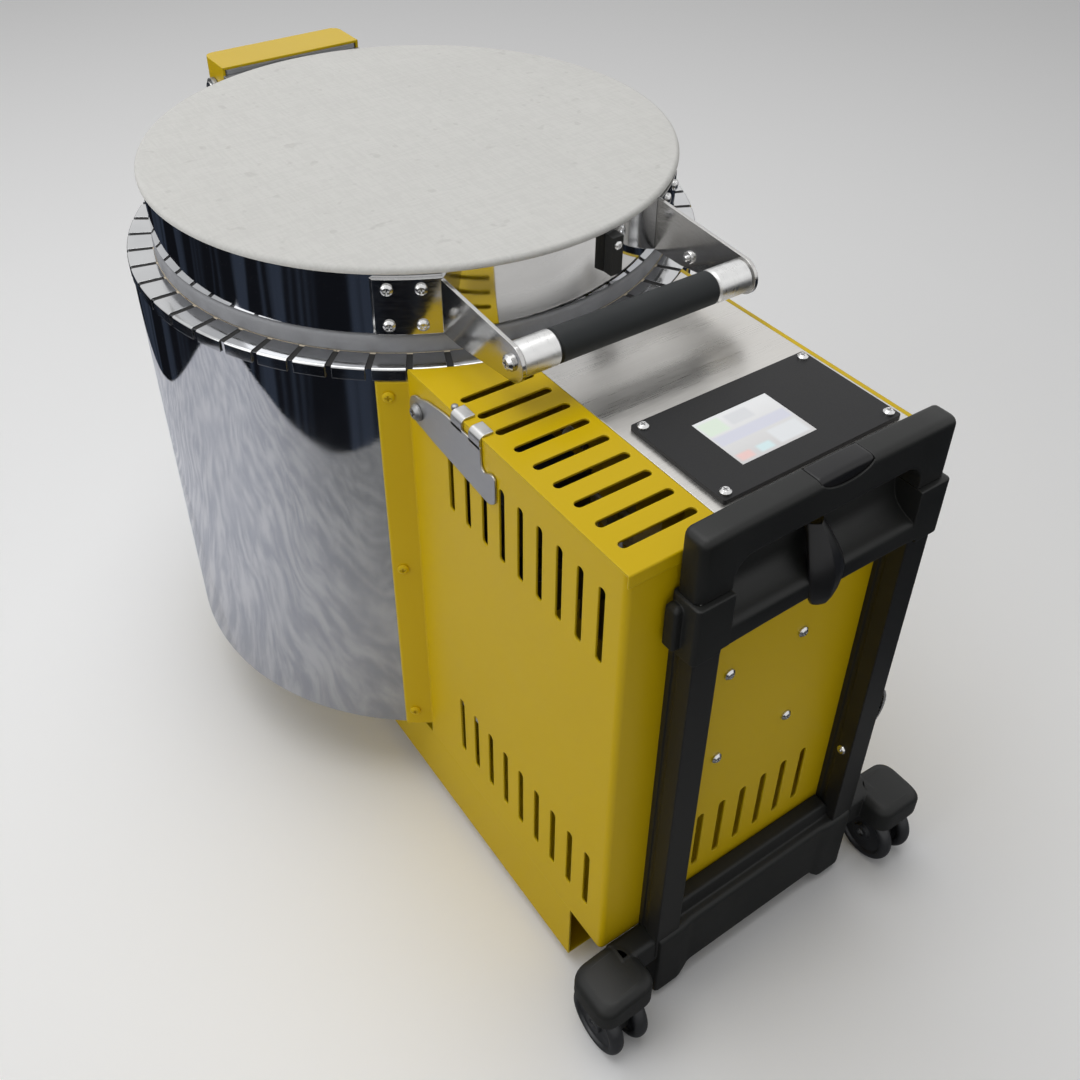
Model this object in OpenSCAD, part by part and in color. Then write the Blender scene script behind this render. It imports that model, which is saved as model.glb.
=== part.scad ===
// Round top-loading kiln with a switch box, standing on a tray with a luggage-style trolley.
// Millimetres. +Z is up, the trolley and its casters are at the front (-Y), the lid hinge at the rear.
// The floor is z = 0. Inside the modules, x = 0 and y = 0 lie on the drum's own axis.

/* [Stand] */
// Height of the rubber feet under the rear of the tray
foot_h = 14; // [8:1:25]
// Radius of each rubber foot
foot_r = 15; // [10:1:20]
// Height of the folded base tray
tray_h = 58; // [45:1:70]
// Length of the tray behind the drum axis
tray_rear = 150; // [120:1:170]
// Distance that the tray stops short of the box front
tray_setback = 35; // [20:1:60]
// Width of the tray's inward top flanges
tray_flange = 22; // [16:1:30]
// Height of the ceramic spacers between tray and drum
spacer_h = 13; // [8:1:20]

/* [Drum] */
// Outer radius of the stainless jacket
jacket_r = 215; // [205:1:230]
// Height of the jacket
jacket_h = 344; // [320:1:370]
// Thickness of the jacket sheet
jacket_t = 1; // [0.8:0.1:1.5]
// Thickness of the firebrick wall
wall_t = 62; // [58:1:70]
// Thickness of the hearth slab
hearth_t = 64; // [50:1:75]
// Number of firebricks round the wall
brick_count = 12; // [8:2:16]
// Number of bent tabs on the top ring
tab_count = 52; // [36:4:60]
// Width of the slit between two tabs
slit_w = 4; // [2:0.5:5]
// Radial width of the tab ring's top
tab_len = 19; // [14:1:22]
// Height of the white rim above the drum
rim_h = 14; // [10:1:18]
// Number of heating elements
element_count = 3; // [2:1:4]
// Radius of an element coil
element_r = 5; // [4:0.5:6]
// Radius of the lead rods at an element's ends
lead_r = 2.5; // [2:0.5:3]

/* [Lid] */
// Distance that the lid's band lies inside the jacket
band_inset = 19; // [19:1:22]
// Height of the lid band
band_h = 44; // [38:1:55]
// Height of the board that stands proud of the band
crown_h = 5; // [3:0.5:8]
// Overhang of the board's crown past the band
crown_over = 3; // [2:0.5:4]
// Thickness of the band sheet
band_t = 0.8; // [0.6:0.1:1.2]
// Gap between the closed lid and the rim
lid_gap = 0.3; // [0.2:0.1:0.6]

/* [Lid hinge] */
// Distance of the hinge axis outside the jacket
hinge_out = 11; // [10:1:15]
// Height of the hinge axis above the lid's underside
hinge_rise = 26; // [22:1:30]
// Radius of the hinge rod
rod_r = 5; // [4:0.5:6]
// Width of the yellow hinge cover
cover_w = 126; // [110:1:136]
// Depth of the hinge cover
cover_d = 41; // [36:1:46]
// Thickness of the hinge cover's sheet
cover_t = 2; // [1.5:0.5:2.5]
// Radius of the wire of the two hinge springs
spring_wire_r = 1.2; // [1:0.1:1.4]
// Number of turns of each hinge spring
spring_turns = 7; // [5:1:9]

/* [Lid handle] */
// Distance between the two handle arms
arm_span = 184; // [160:1:200]
// Sideways offset of the handle from the middle
handle_x = 9; // [-10:1:12]
// Distance of the grip axis from the lid band
grip_reach = 61; // [54:1:72]
// Height of the grip axis above the lid's underside
grip_rise = 21; // [18:1:26]
// Outer radius of the rubber grip
grip_r = 11; // [10:0.5:13]
// Length of the rubber grip
grip_len = 124; // [100:1:140]
// Radius of the aluminium tube inside the grip
tube_r = 9.5; // [8:0.5:9.5]
// Thickness of the arm plate
arm_t = 2.5; // [2:0.5:3.5]

/* [Switch box] */
// Width of the switch box
box_w = 226; // [215:1:240]
// Distance of the box front from the jacket
box_reach = 193.5; // [185:0.5:205]
// Height of the box top above the jacket
box_rise = 1.5; // [1:0.5:4]
// Thickness of the box sheet
sheet_t = 1.5; // [1:0.5:2]
// Radius of the box's vertical front corners
corner_r = 4; // [3:0.5:6]
// Width of the flanges that hold the box on the jacket
flange_w = 17; // [14:1:22]
// Distance between two vent slots
slot_pitch = 19.4; // [17:0.1:20]
// Width of a vent slot
slot_w = 6; // [4:0.5:8]
// Length of a side or front slot
slot_len = 58; // [45:1:65]
// Number of slots in a row on the side and the top
slot_count = 9; // [6:1:9]
// Width of the slotted yellow part of the top
vent_top_w = 68; // [60:1:75]
// Length of the faceplate
face_w = 141; // [125:1:145]
// Depth of the faceplate
face_d = 82.5; // [75:0.5:88]
// Thickness of the faceplate
face_t = 3; // [2:0.5:4]
// Width of the touch screen
screen_w = 59; // [50:1:70]
// Depth of the touch screen
screen_d = 44.6; // [40:0.1:50]

/* [Trolley] */
// Width over both rails
rails_w = 192; // [180:1:192]
// Size of the square rail tube
rail_s = 20; // [18:1:22]
// Wall of the rail tube
rail_wall = 1.4; // [1:0.1:1.6]
// Height of the lower crossbar
bar_h = 61; // [50:1:66]
// Distance of the cross bracket's foot below the box top
bracket_drop = 69.5; // [64:0.5:80]
// Height of the bracket's middle
bracket_h = 27; // [22:1:30]
// Height of the bracket's ends
bracket_end_h = 43; // [38:1:46]
// Height of the grip head over the seam
head_h = 45; // [38:1:50]
// Depth of the grip head
head_d = 18; // [17:0.5:19]
// Height of the hand bar at the top of the head
hand_bar_h = 29; // [24:1:31]
// Travel of each of the two telescoping stages
stage_travel = 230; // [150:5:240]
// Width of the release button
button_w = 41; // [30:1:50]
// Travel of the release button
button_travel = 4; // [2:0.5:4.5]

/* [Casters] */
// Radius of a caster wheel
wheel_r = 25; // [22:0.5:26]
// Width of one wheel
wheel_w = 11; // [9:0.5:12]
// Distance from the trolley's middle to a caster
caster_x = 134; // [126:1:140]
// Distance of the caster stems in front of the box
caster_out = 14.5; // [12:0.5:17]
// Offset of the axle from the stem
caster_trail = 6; // [3:0.5:9]
// Radius of the caster stem
stem_r = 5; // [4:0.5:6]
// Radius of the wheel axle
axle_r = 3; // [2.5:0.5:4]

/* [Prop lever] */
// Distance of the lever's pivot from the jacket
lever_out = 16; // [14:1:22]
// Depth of the lever's pivot below the box top
lever_drop = 24; // [22:1:28]
// Thickness of the lever plate
lever_t = 1.5; // [1:0.5:2]
// Radius of the pivot bolt's shank
pivot_r = 3; // [2.5:0.5:4]

/* [Hidden] */
$fn = 64;
eps = 0.01;
seat = 0.1;
slip = 0.3;
run_gap = 0.05;

yellow = [0.95, 0.76, 0.05];
steel = [0.78, 0.79, 0.8];
black = [0.1, 0.1, 0.11];

tray_z = foot_h;
box_z = tray_z + tray_h;
drum_z = box_z + spacer_h;
drum_top = drum_z + jacket_h;
box_h = spacer_h + jacket_h + box_rise;
box_top = box_z + box_h;
box_front = jacket_r + box_reach;
side_x = box_w / 2;
inner_x = side_x - sheet_t;
trolley_x = side_x - rails_w / 2;
bracket_z = box_top - bracket_drop;
brick_play = 2;
hearth_z = drum_z + jacket_t;
hearth_top = hearth_z + hearth_t;
brick_r = jacket_r - jacket_t - brick_play;
chamber_r = brick_r - wall_t;
band_r = jacket_r - band_inset;
rim_r = band_r + 1;
rim_top = drum_top + rim_h;
lid_z = rim_top + lid_gap;
lid_top = lid_z + band_h + crown_h;
hinge_z = lid_z + hinge_rise;
hinge_y = jacket_r + hinge_out;
grip_y = band_r + grip_reach;
cover_rear = hinge_y + 19;
cover_top = lid_top + 1.5;
tray_front = box_front - tray_setback;

caster_y = box_front + caster_out;
lever_y = sqrt(jacket_r * jacket_r - side_x * side_x) + lever_out;
housing_d = 42;
housing_w = 46;
housing_h = 23;
housing_front = box_front + housing_d;
front_reach = caster_y + caster_trail + wheel_r;
drum_y = (front_reach - cover_rear) / 2;

element_z = [for (i = [1:element_count]) hearth_top + (drum_top - hearth_top) * i / (element_count + 1)];
groove_d = 2 * element_r + 4;
element_ring_r = chamber_r + groove_d - element_r - 1;
lead_x = 12;
bush_r = 5;
probe_x = 45;
probe_r = 4;
shield_gap = 8;
shield_y = jacket_r + shield_gap;

// Puts a piece that is drawn about the drum's axis at its place in the part's frame.
module at_drum() {
  translate([0, drum_y, 0]) children();
}

// A block given by its low corner and its high corner.
module block(low, high) {
  translate(low) cube(high - low);
}

// A tube that stands on z = 0.
module tube(outer, inner, height) {
  difference() {
    cylinder(r = outer, h = height, $fn = 128);
    translate([0, 0, -eps]) cylinder(r = inner, h = height + 2 * eps, $fn = 128);
  }
}

// A rectangle about the middle with four round corners.
module round_rect(w, d, r) {
  square([w - 2 * r, d], center = true);
  square([w, d - 2 * r], center = true);
  for (x = [-1, 1], y = [-1, 1])
    translate([x * (w / 2 - r), y * (d / 2 - r)]) circle(r = r, $fn = 32);
}

// A slot with round ends, cut along Z through a plate that lies across Y.
module slot_z(length, width, depth) {
  rotate([90, 0, 0]) linear_extrude(depth, center = true) slot_shape(width, length);
}

// The flat outline of a slot that is long along Y.
module slot_shape(width, length) {
  square([width, length - width], center = true);
  for (s = [-1, 1]) translate([0, s * (length - width) / 2]) circle(d = width, $fn = 24);
}

// A pan-head screw whose head stands on z = 0 and whose shank goes down.
module pan_screw(head_r, head_h, shank_r, shank_l) {
  cylinder(r = head_r, h = head_h / 2, $fn = 32);
  translate([0, 0, head_h / 2]) difference() {
    cylinder(r1 = head_r, r2 = head_r * 0.6, h = head_h / 2, $fn = 32);
    for (a = [0, 90]) rotate(a) translate([0, 0, head_h / 2])
      cube([head_r, head_r / 4, head_h], center = true);
  }
  translate([0, 0, -shank_l]) cylinder(r = shank_r, h = shank_l, $fn = 24);
}

// Folded tray with inward top flanges, open at both ends.
module base_tray() {
  color(yellow) at_drum() difference() {
    block([-side_x, -tray_front, tray_z], [side_x, tray_rear, box_z]);
    block([-inner_x, -tray_front - eps, tray_z + sheet_t], [inner_x, tray_rear + eps, box_z - sheet_t]);
    block([-inner_x + tray_flange, -tray_front - eps, tray_z + tray_h / 2],
      [inner_x - tray_flange, tray_rear + eps, box_z + eps]);
  }
}

foot_x = side_x - foot_r - 8;
foot_y = tray_rear - foot_r - 5;

module rear_feet() {
  color(black) at_drum() for (s = [-1, 1]) translate([s * foot_x, foot_y, 0])
    cylinder(r1 = foot_r - 2, r2 = foot_r, h = foot_h);
}

spacer_r = 9;
spacer_x = inner_x - tray_flange / 2;
spacer_ys = [-95, 110];

module drum_spacers() {
  color([0.9, 0.88, 0.82]) at_drum() for (s = [-1, 1], y = spacer_ys)
    translate([s * spacer_x, y, box_z]) cylinder(r = spacer_r, h = spacer_h);
}

pan_lip = 12;

module bottom_pan() {
  color(steel) at_drum() translate([0, 0, drum_z]) {
    cylinder(r = jacket_r - jacket_t - seat, h = jacket_t, $fn = 128);
    tube(jacket_r - jacket_t - seat, brick_r + seat, pan_lip);
  }
}

module hearth_slab() {
  color([0.93, 0.89, 0.8]) at_drum() translate([0, 0, hearth_z])
    cylinder(r = brick_r, h = hearth_t, $fn = 128);
}

// Radial bores for one element's two leads.
module lead_bores(r, from_y, to_y) {
  for (z = element_z, s = [-1, 1]) translate([s * lead_x, -from_y, z])
    rotate([90, 0, 0]) cylinder(r = r, h = to_y - from_y, $fn = 24);
}

// Bore for the temperature probe.
probe_z = (element_z[0] + element_z[1]) / 2;

module probe_bore(r, from_y, to_y) {
  translate([probe_x, -from_y, probe_z]) rotate([90, 0, 0]) cylinder(r = r, h = to_y - from_y, $fn = 24);
}

joint_w = 0.4;

module wall_bricks() {
  color([0.95, 0.92, 0.84]) at_drum() difference() {
    translate([0, 0, hearth_top]) tube(brick_r, chamber_r, drum_top - hearth_top);
    for (i = [0:brick_count - 1]) rotate(-90 + (i + 0.5) * 360 / brick_count)
      block([chamber_r / 2, -joint_w / 2, hearth_top - 1], [jacket_r + 1, joint_w / 2, drum_top + 1]);
    for (z = element_z) translate([0, 0, z - groove_d / 2])
      cylinder(r = chamber_r + groove_d, h = groove_d, $fn = 96);
    lead_bores(bush_r + seat, chamber_r / 2, jacket_r);
    probe_bore(probe_r + seat, chamber_r / 2, jacket_r);
  }
}

element_drop = groove_d / 2 - element_r - seat;
gap_angle = 2 * asin((lead_x) / element_ring_r);
lead_end = shield_y + 18;

module heating_elements() {
  color([0.45, 0.42, 0.4]) at_drum() for (z = element_z) {
    translate([0, 0, z - element_drop]) rotate(-90 + gap_angle / 2)
      rotate_extrude(angle = 360 - gap_angle, $fn = 96) translate([element_ring_r, 0])
        circle(r = element_r, $fn = 20);
    for (s = [-1, 1]) translate([s * lead_x, -element_ring_r + element_r, z])
      rotate([90, 0, 0]) cylinder(r = lead_r, h = lead_end - element_ring_r + element_r, $fn = 20);
  }
}

bush_start = 40;
bush_over = 6;

module lead_bushes() {
  color([0.96, 0.95, 0.92]) at_drum() difference() {
    lead_bores(bush_r, jacket_r - bush_start, shield_y + bush_over);
    lead_bores(lead_r + seat, jacket_r - bush_start - 1, shield_y + bush_over + 1);
  }
}

probe_tip = 40;
probe_head_gap = 10;
probe_head_w = 28;
probe_head_d = 14;
probe_head_h = 18;

module thermocouple() {
  color([0.88, 0.86, 0.82]) at_drum() {
    probe_bore(probe_r, chamber_r - probe_tip, shield_y + probe_head_gap);
    translate([probe_x, -shield_y - probe_head_gap, probe_z])
      block([-probe_head_w / 2, -probe_head_d, -probe_head_h / 2], [probe_head_w / 2, 0, probe_head_h / 2]);
  }
}

module jacket() {
  color(steel) at_drum() difference() {
    translate([0, 0, drum_z]) tube(jacket_r, jacket_r - jacket_t, jacket_h);
    lead_bores(bush_r + seat, jacket_r / 2, jacket_r + 2);
    probe_bore(probe_r + seat, jacket_r / 2, jacket_r + 2);
  }
}

ring_t = 1;
ring_skirt = 8;
ring_r = jacket_r + seat + ring_t;
slit_drop = 3;

// Stainless cap ring whose tabs lie on the bricks' top.
module tab_ring() {
  color(steel) at_drum() difference() {
    union() {
      translate([0, 0, drum_top]) tube(ring_r, ring_r - tab_len, ring_t);
      translate([0, 0, drum_top - ring_skirt]) tube(ring_r, jacket_r + seat, ring_skirt + ring_t);
    }
    for (i = [0:tab_count - 1]) rotate((i + 0.5) * 360 / tab_count)
      block([ring_r - tab_len - 1, -slit_w / 2, drum_top - slit_drop],
        [ring_r + 1, slit_w / 2, drum_top + 2 * ring_t]);
  }
}

module rim_gasket() {
  color([0.95, 0.95, 0.93]) at_drum() translate([0, 0, drum_top])
    tube(ring_r - tab_len - slip, chamber_r, rim_h);
}

slot_start = jacket_r + 18.6;
upper_slot_z = box_top - 54;
lower_slot_z = box_z + 60;

// Both rows of vertical slots of one side wall.
module side_slots() {
  for (i = [0:slot_count - 1], z = [upper_slot_z, lower_slot_z])
    translate([0, -slot_start - i * slot_pitch, z]) rotate(90) slot_z(slot_len, slot_w, 4 * sheet_t);
}

front_slot_count = 6;
edge_w = 3.5;

// One folded sheet: left wall, front, right wall and the two flanges on the jacket.
module box_shell() {
  color(yellow) at_drum() difference() {
    union() {
      translate([0, -box_front / 2 - 50, box_z]) linear_extrude(box_h - sheet_t) difference() {
        round_rect(box_w, box_front - 100, corner_r);
        round_rect(box_w - 2 * sheet_t, box_front - 100 - 2 * sheet_t, corner_r - sheet_t);
      }
      block([side_x - edge_w, -box_front + corner_r, box_top - sheet_t], [side_x, -jacket_r / 2, box_top]);
      intersection() {
        translate([0, 0, drum_z]) tube(jacket_r + seat + sheet_t, jacket_r + seat, jacket_h - ring_skirt - 1);
        for (s = [-1, 1])
          translate([s * (side_x - sheet_t + (flange_w + sheet_t) / 2), -jacket_r,
          drum_z + jacket_h / 2])
          cube([flange_w + sheet_t, jacket_r, jacket_h + 1], center = true);
      }
    }
    translate([0, 0, box_z - 1]) cylinder(r = jacket_r + seat, h = box_h + 10, $fn = 128);
    translate([0, 0, drum_top - ring_skirt - 1]) cylinder(r = ring_r + seat, h = box_h, $fn = 128);
    for (s = [-1, 1]) translate([s * side_x, 0, 0]) side_slots();
    for (i = [0:front_slot_count - 1])
      translate([trolley_x + (i - (front_slot_count - 1) / 2) * slot_pitch, -box_front, lower_slot_z])
        slot_z(slot_len, slot_w, 4 * sheet_t);
    translate([-side_x - 1, -lever_y, box_top - lever_drop]) rotate([0, 90, 0])
      cylinder(r = pivot_r, h = 2 * sheet_t + 1);
    for (p = front_screw_at) translate([p[0], -box_front - 1, p[1]])
      rotate([-90, 0, 0]) cylinder(r = front_screw_r, h = 3 * sheet_t);
    for (s = [-1, 1], z = rivet_zs) rivet_place(s, z) cylinder(r = rivet_r, h = 8, center = true);
    translate([inner_x - 1, gland_y, gland_z]) rotate([0, 90, 0]) cylinder(r = cord_r, h = 3 * sheet_t);
  }
}

front_screw_r = 2;
front_screw_dx = 62;
front_screw_dz = 81;
front_screw_x = trolley_x - 43;
front_screw_z = box_top - 211.5;
front_screw_at = [for (i = [0, 1], j = [0, 1]) [front_screw_x + i * front_screw_dx,
  front_screw_z + j * front_screw_dz]];
rivet_r = 2;
rivet_zs = [drum_z + 16, drum_z + jacket_h / 2, drum_top - 20];
rivet_angle = asin((side_x + flange_w * 0.6) / jacket_r);

// Turns Z outward at a rivet's place on the jacket; s is -1 on the left and 1 on the right.
module rivet_place(s, z) {
  translate([0, 0, z]) rotate(-90 + s * rivet_angle) translate([jacket_r, 0, 0]) rotate([0, 90, 0])
    children();
}

module box_floor() {
  color(yellow) at_drum() difference() {
    block([-inner_x + seat, -box_front + sheet_t + seat, box_z], [inner_x - seat, 0, box_z + sheet_t]);
    translate([0, 0, box_z - 1]) cylinder(r = jacket_r + 1, h = 10, $fn = 128);
    translate([0, 0, box_z - 1]) block([-inner_x - 1, -spacer_h - 150, 0], [inner_x + 1, 1, 10]);
  }
}

lip_h = 9;
lip_t = 1.2;
split_x = -side_x + vent_top_w;

// Slotted part of the top with a lip that turns down over the front.
module top_cover() {
  color(yellow) at_drum() difference() {
    union() {
      block([-side_x, -box_front, box_top - sheet_t], [split_x, -jacket_r / 2, box_top]);
      translate([-side_x, -box_front, box_top - lip_t]) intersection() {
        rotate([0, 90, 0]) cylinder(r = lip_t, h = vent_top_w, $fn = 24);
        block([0, -lip_t, 0], [vent_top_w, lip_t, lip_t]);
      }
      block([-side_x, -box_front - lip_t, box_top - lip_h], [split_x, -box_front, box_top - lip_t]);
    }
    translate([0, 0, box_top - lip_h]) cylinder(r = ring_r + 1, h = 2 * lip_h, $fn = 128);
    block([-side_x - 1, -box_front, box_top - 2 * lip_h],
      [split_x + 1, -jacket_r / 2 + 1, box_top - sheet_t]);
    for (i = [0:slot_count - 1])
      translate([-side_x + vent_top_w / 2 + 2, -slot_start - i * slot_pitch, box_top])
        linear_extrude(4 * sheet_t, center = true) rotate(90) slot_shape(slot_w, vent_top_w - 15);
  }
}

face_margin = 8.5;
face_setback = 13;
face_x = side_x - face_margin - face_w / 2;
face_front = box_front - face_setback;
face_y = -face_front + face_d / 2;
screen_shift = 11;
screen_margin = 18;
screen_x = face_x - screen_shift;
screen_y = -face_front + screen_margin + screen_d / 2;
screen_play = 4;

module control_panel() {
  color(steel) at_drum() difference() {
    block([split_x + slip, -box_front, box_top - sheet_t], [side_x - edge_w - seat, -jacket_r / 2, box_top]);
    translate([0, 0, box_top - 5]) cylinder(r = ring_r + 1, h = 10, $fn = 128);
    translate([screen_x, screen_y, box_top])
      cube([screen_w + 2 * screen_play, screen_d + 2 * screen_play, 10], center = true);
    for (p = face_screw_at) translate([p[0], p[1], box_top - 5]) cylinder(r = face_screw_r, h = 10, $fn = 24);
  }
}

face_screw_r = 1.6;
face_inset = 5.5;
face_screw_at = [for (x = [-1, 1], y = [-1, 1])
  [face_x + x * (face_w / 2 - face_inset), face_y + y * (face_d / 2 - face_inset)]];

module faceplate() {
  color(black) at_drum() difference() {
    translate([face_x, face_y, box_top]) linear_extrude(face_t) round_rect(face_w, face_d, 2);
    translate([screen_x, screen_y, box_top]) cube([screen_w, screen_d, 4 * face_t], center = true);
    for (p = face_screw_at) translate([p[0], p[1], box_top - 1])
      cylinder(r = face_screw_r, h = 3 * face_t, $fn = 24);
  }
}

module touch_screen() {
  color([0.86, 0.9, 0.95]) at_drum() translate([screen_x, screen_y, box_top])
    block([-screen_w / 2 + seat, -screen_d / 2 + seat, -sheet_t],
      [screen_w / 2 - seat, screen_d / 2 - seat, face_t - 0.5]);
}

board_gap = 9;

module faceplate_screws() {
  color(steel) at_drum() for (p = face_screw_at) translate([p[0], p[1], box_top + face_t])
    pan_screw(3.6, 2.6, face_screw_r - seat, face_t + sheet_t + board_gap);
}

board_t = 1.6;
board_top = box_top - sheet_t - board_gap;

// Controller board on four posts under the panel, with its larger parts.
module circuit_board() {
  color([0.05, 0.35, 0.15]) at_drum() difference() {
    union() {
      translate([face_x, face_y, board_top - board_t / 2])
        cube([face_w - 4, face_d - 4, board_t], center = true);
      for (p = face_screw_at) translate([p[0], p[1], board_top - eps])
        cylinder(r = 3.4, h = board_gap + eps, $fn = 24);
      translate([screen_x, screen_y, board_top]) block([-screen_w / 2, -screen_d / 2, 0],
        [screen_w / 2, screen_d / 2, board_gap]);
      translate([face_x + 40, face_y, board_top - board_t]) block([-12, -25, -12], [12, 25, 0]);
      translate([face_x - 45, face_y, board_top - board_t]) block([-14, -12, -10], [14, 12, 0]);
    }
    for (p = face_screw_at) translate([p[0], p[1], board_top - 8])
      cylinder(r = face_screw_r, h = 30, $fn = 24);
  }
}

relay_w = 30;
relay_d = 28;
relay_h = 50;
relay_gap = 10;
relay_row = 20;
relay_lift = 158;
relay_z = box_z + relay_lift;
relay_x = -inner_x + 26.5;
part_wall_y = -shield_y - sheet_t;
lug_s = 6;
lug_t = 1;

// Four power relays in two rows on the heat shield, each with two spade lugs.
module relays() {
  color([0.12, 0.12, 0.13]) at_drum() for (i = [0, 1], j = [0, 1])
    translate([relay_x + i * (relay_w + relay_gap), part_wall_y - relay_d,
      relay_z + j * (relay_h + relay_row)]) {
      cube([relay_w, relay_d, relay_h]);
      for (k = [0, 1]) translate([lug_s / 2 + k * (relay_w - 2 * lug_s), -lug_s, relay_h - lug_s])
        cube([lug_s, lug_s, lug_t]);
    }
}

core_w = 56;
core_d = 40;
core_h = 48;
coil_w = 32;
coil_d = 12;
coil_h = 32;
core_x = inner_x - 51.5;
core_z = box_z + 48;

module transformer() {
  color([0.35, 0.36, 0.4]) at_drum() translate([core_x, part_wall_y, core_z]) {
    block([-core_w / 2, -core_d, 0], [core_w / 2, 0, core_h]);
    block([-coil_w / 2, -core_d - coil_d, (core_h - coil_h) / 2],
      [coil_w / 2, -core_d, (core_h + coil_h) / 2]);
  }
}

strip_w = 84;
strip_d = 22;
strip_h = 18;
way_pitch = 12;
way_count = 7;
way_r = 3;
way_depth = 6;
strip_x = -inner_x + 51.5;
strip_z = box_z + 58;

module terminal_block() {
  color([0.93, 0.93, 0.9]) at_drum() translate([strip_x, part_wall_y, strip_z]) difference() {
    block([-strip_w / 2, -strip_d, 0], [strip_w / 2, 0, strip_h]);
    for (i = [0:way_count - 1]) translate([(i - (way_count - 1) / 2) * way_pitch, -strip_d, strip_h / 2])
      rotate([90, 0, 0]) cylinder(r = way_r, h = 2 * way_depth, center = true, $fn = 24);
  }
}

shield_edge = 8;

// Bright plate between the hot drum and the wiring, with its edges turned to the box walls.
module heat_shield() {
  color([0.82, 0.83, 0.85]) at_drum() difference() {
    union() {
      block([-inner_x + seat, -shield_y - sheet_t, box_z + sheet_t],
        [inner_x - seat, -shield_y, box_top - sheet_t]);
      for (s = [-1, 1])
        translate([s * (inner_x - seat - sheet_t / 2), -shield_y - shield_edge / 2,
        (box_z + box_top) / 2])
        cube([sheet_t, shield_edge, box_h - 4 * sheet_t], center = true);
    }
    lead_bores(bush_r + seat, jacket_r, shield_y + 10);
    probe_bore(probe_r + seat, jacket_r, shield_y + 10);
  }
}

gland_r = 11;
gland_z = box_z + box_h / 2;
cord_r = 6;
gland_y = -box_front + 60;

// Strain relief for the mains cord in the right wall.
module cord_gland() {
  color(black) at_drum() translate([side_x, gland_y, gland_z]) rotate([0, 90, 0]) difference() {
    union() {
      cylinder(r = gland_r + 4, h = 5, $fn = 6);
      translate([0, 0, 5]) cylinder(r1 = gland_r + 2, r2 = gland_r - 2, h = 14);
    }
    translate([0, 0, -1]) cylinder(r = cord_r, h = 30);
  }
}

rivet_head_h = 2.4;

module flange_rivets() {
  color(yellow) at_drum() for (s = [-1, 1], z = rivet_zs) rivet_place(s, z) {
    translate([0, 0, seat + sheet_t]) pan_screw(4.2, rivet_head_h, rivet_r - seat, sheet_t);
  }
}

module front_screws() {
  color(steel) at_drum() for (p = front_screw_at) translate([p[0], -box_front, p[1]])
    rotate([90, 0, 0]) pan_screw(4, 2.6, front_screw_r - seat, 6);
}

lever_gap = 0.3;
lever_x = -side_x - lever_gap - lever_t;

module lever_bolt() {
  color(steel) at_drum() translate([lever_x - lever_gap, -lever_y, box_top - lever_drop]) rotate([0, -90, 0])
    pan_screw(6, 4, pivot_r - run_gap, lever_t + 2 * lever_gap + sheet_t);
}

ear_t = 4;
ear_x = cover_w / 2 + ear_t / 2 + slip;
knuckle_r = 10;
plate_h = 70;
plate_t = 3;
ear_h = 60;
bracket_w = 2 * ear_x + 20;

// Steel bracket on the drum's rear whose two ears carry the hinge rod.
module hinge_bracket() {
  color([0.55, 0.56, 0.58]) at_drum() difference() {
    union() {
      intersection() {
        translate([0, 0, drum_top - plate_h])
          tube(jacket_r + seat + plate_t, jacket_r + seat, plate_h - ring_skirt - 1);
        block([-bracket_w / 2, 0, drum_top - plate_h - 1], [bracket_w / 2, jacket_r + 2 * plate_t, drum_top]);
      }
      for (s = [-1, 1]) {
        translate([s * ear_x - ear_t / 2, hinge_y, hinge_z]) rotate([0, 90, 0])
          cylinder(r = knuckle_r, h = ear_t);
        block([s * ear_x - ear_t / 2, ring_r + 1, drum_top - ear_h],
          [s * ear_x + ear_t / 2, hinge_y + knuckle_r, hinge_z]);
        block([s * ear_x - ear_t / 2, jacket_r * 0.9, drum_top - ear_h],
          [s * ear_x + ear_t / 2, ring_r + 2, drum_top - ring_skirt - 1]);
      }
    }
    translate([0, 0, drum_top - 100]) cylinder(r = jacket_r + seat, h = 100, $fn = 128);
    translate([-bracket_w, hinge_y, hinge_z]) rotate([0, 90, 0])
      cylinder(r = rod_r + run_gap, h = 2 * bracket_w);
  }
}

spring_mean_r = rod_r + spring_wire_r + 0.5;
spring_l = 26;
spring_x = cover_w / 2 - cover_t - spring_l / 2 - 2;
ring_steps = 8;
wire_sides = 6;

// Points of one wire's cross-section at a turn angle and a place along the rod.
function wire_ring(a, x) = [for (k = [0:wire_sides - 1])
  let (b = 360 * k / wire_sides, r = spring_mean_r + spring_wire_r * cos(b))
  [x + spring_wire_r * sin(b), r * cos(a), r * sin(a)]];

// One closed helical wire, wound about the X axis.
module helix(length, turns) {
  steps = turns * ring_steps;
  pts = [for (i = [0:steps]) each wire_ring(360 * i / ring_steps, length * (i / steps - 0.5))];
  sides = [for (i = [0:steps - 1], k = [0:wire_sides - 1])
    let (a = i * wire_sides + k, b = i * wire_sides + (k + 1) % wire_sides)
    each [[a, a + wire_sides, b], [b, a + wire_sides, b + wire_sides]]];
  ends = [for (k = [1:wire_sides - 2]) each [[0, k, k + 1],
    [steps * wire_sides, steps * wire_sides + k + 1, steps * wire_sides + k]]];
  polyhedron(points = pts, faces = concat(sides, ends), convexity = 10);
}

module hinge_springs() {
  color([0.5, 0.5, 0.52]) at_drum() for (s = [-1, 1])
    translate([s * spring_x, hinge_y, hinge_z]) helix(spring_l, spring_turns);
}

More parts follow.
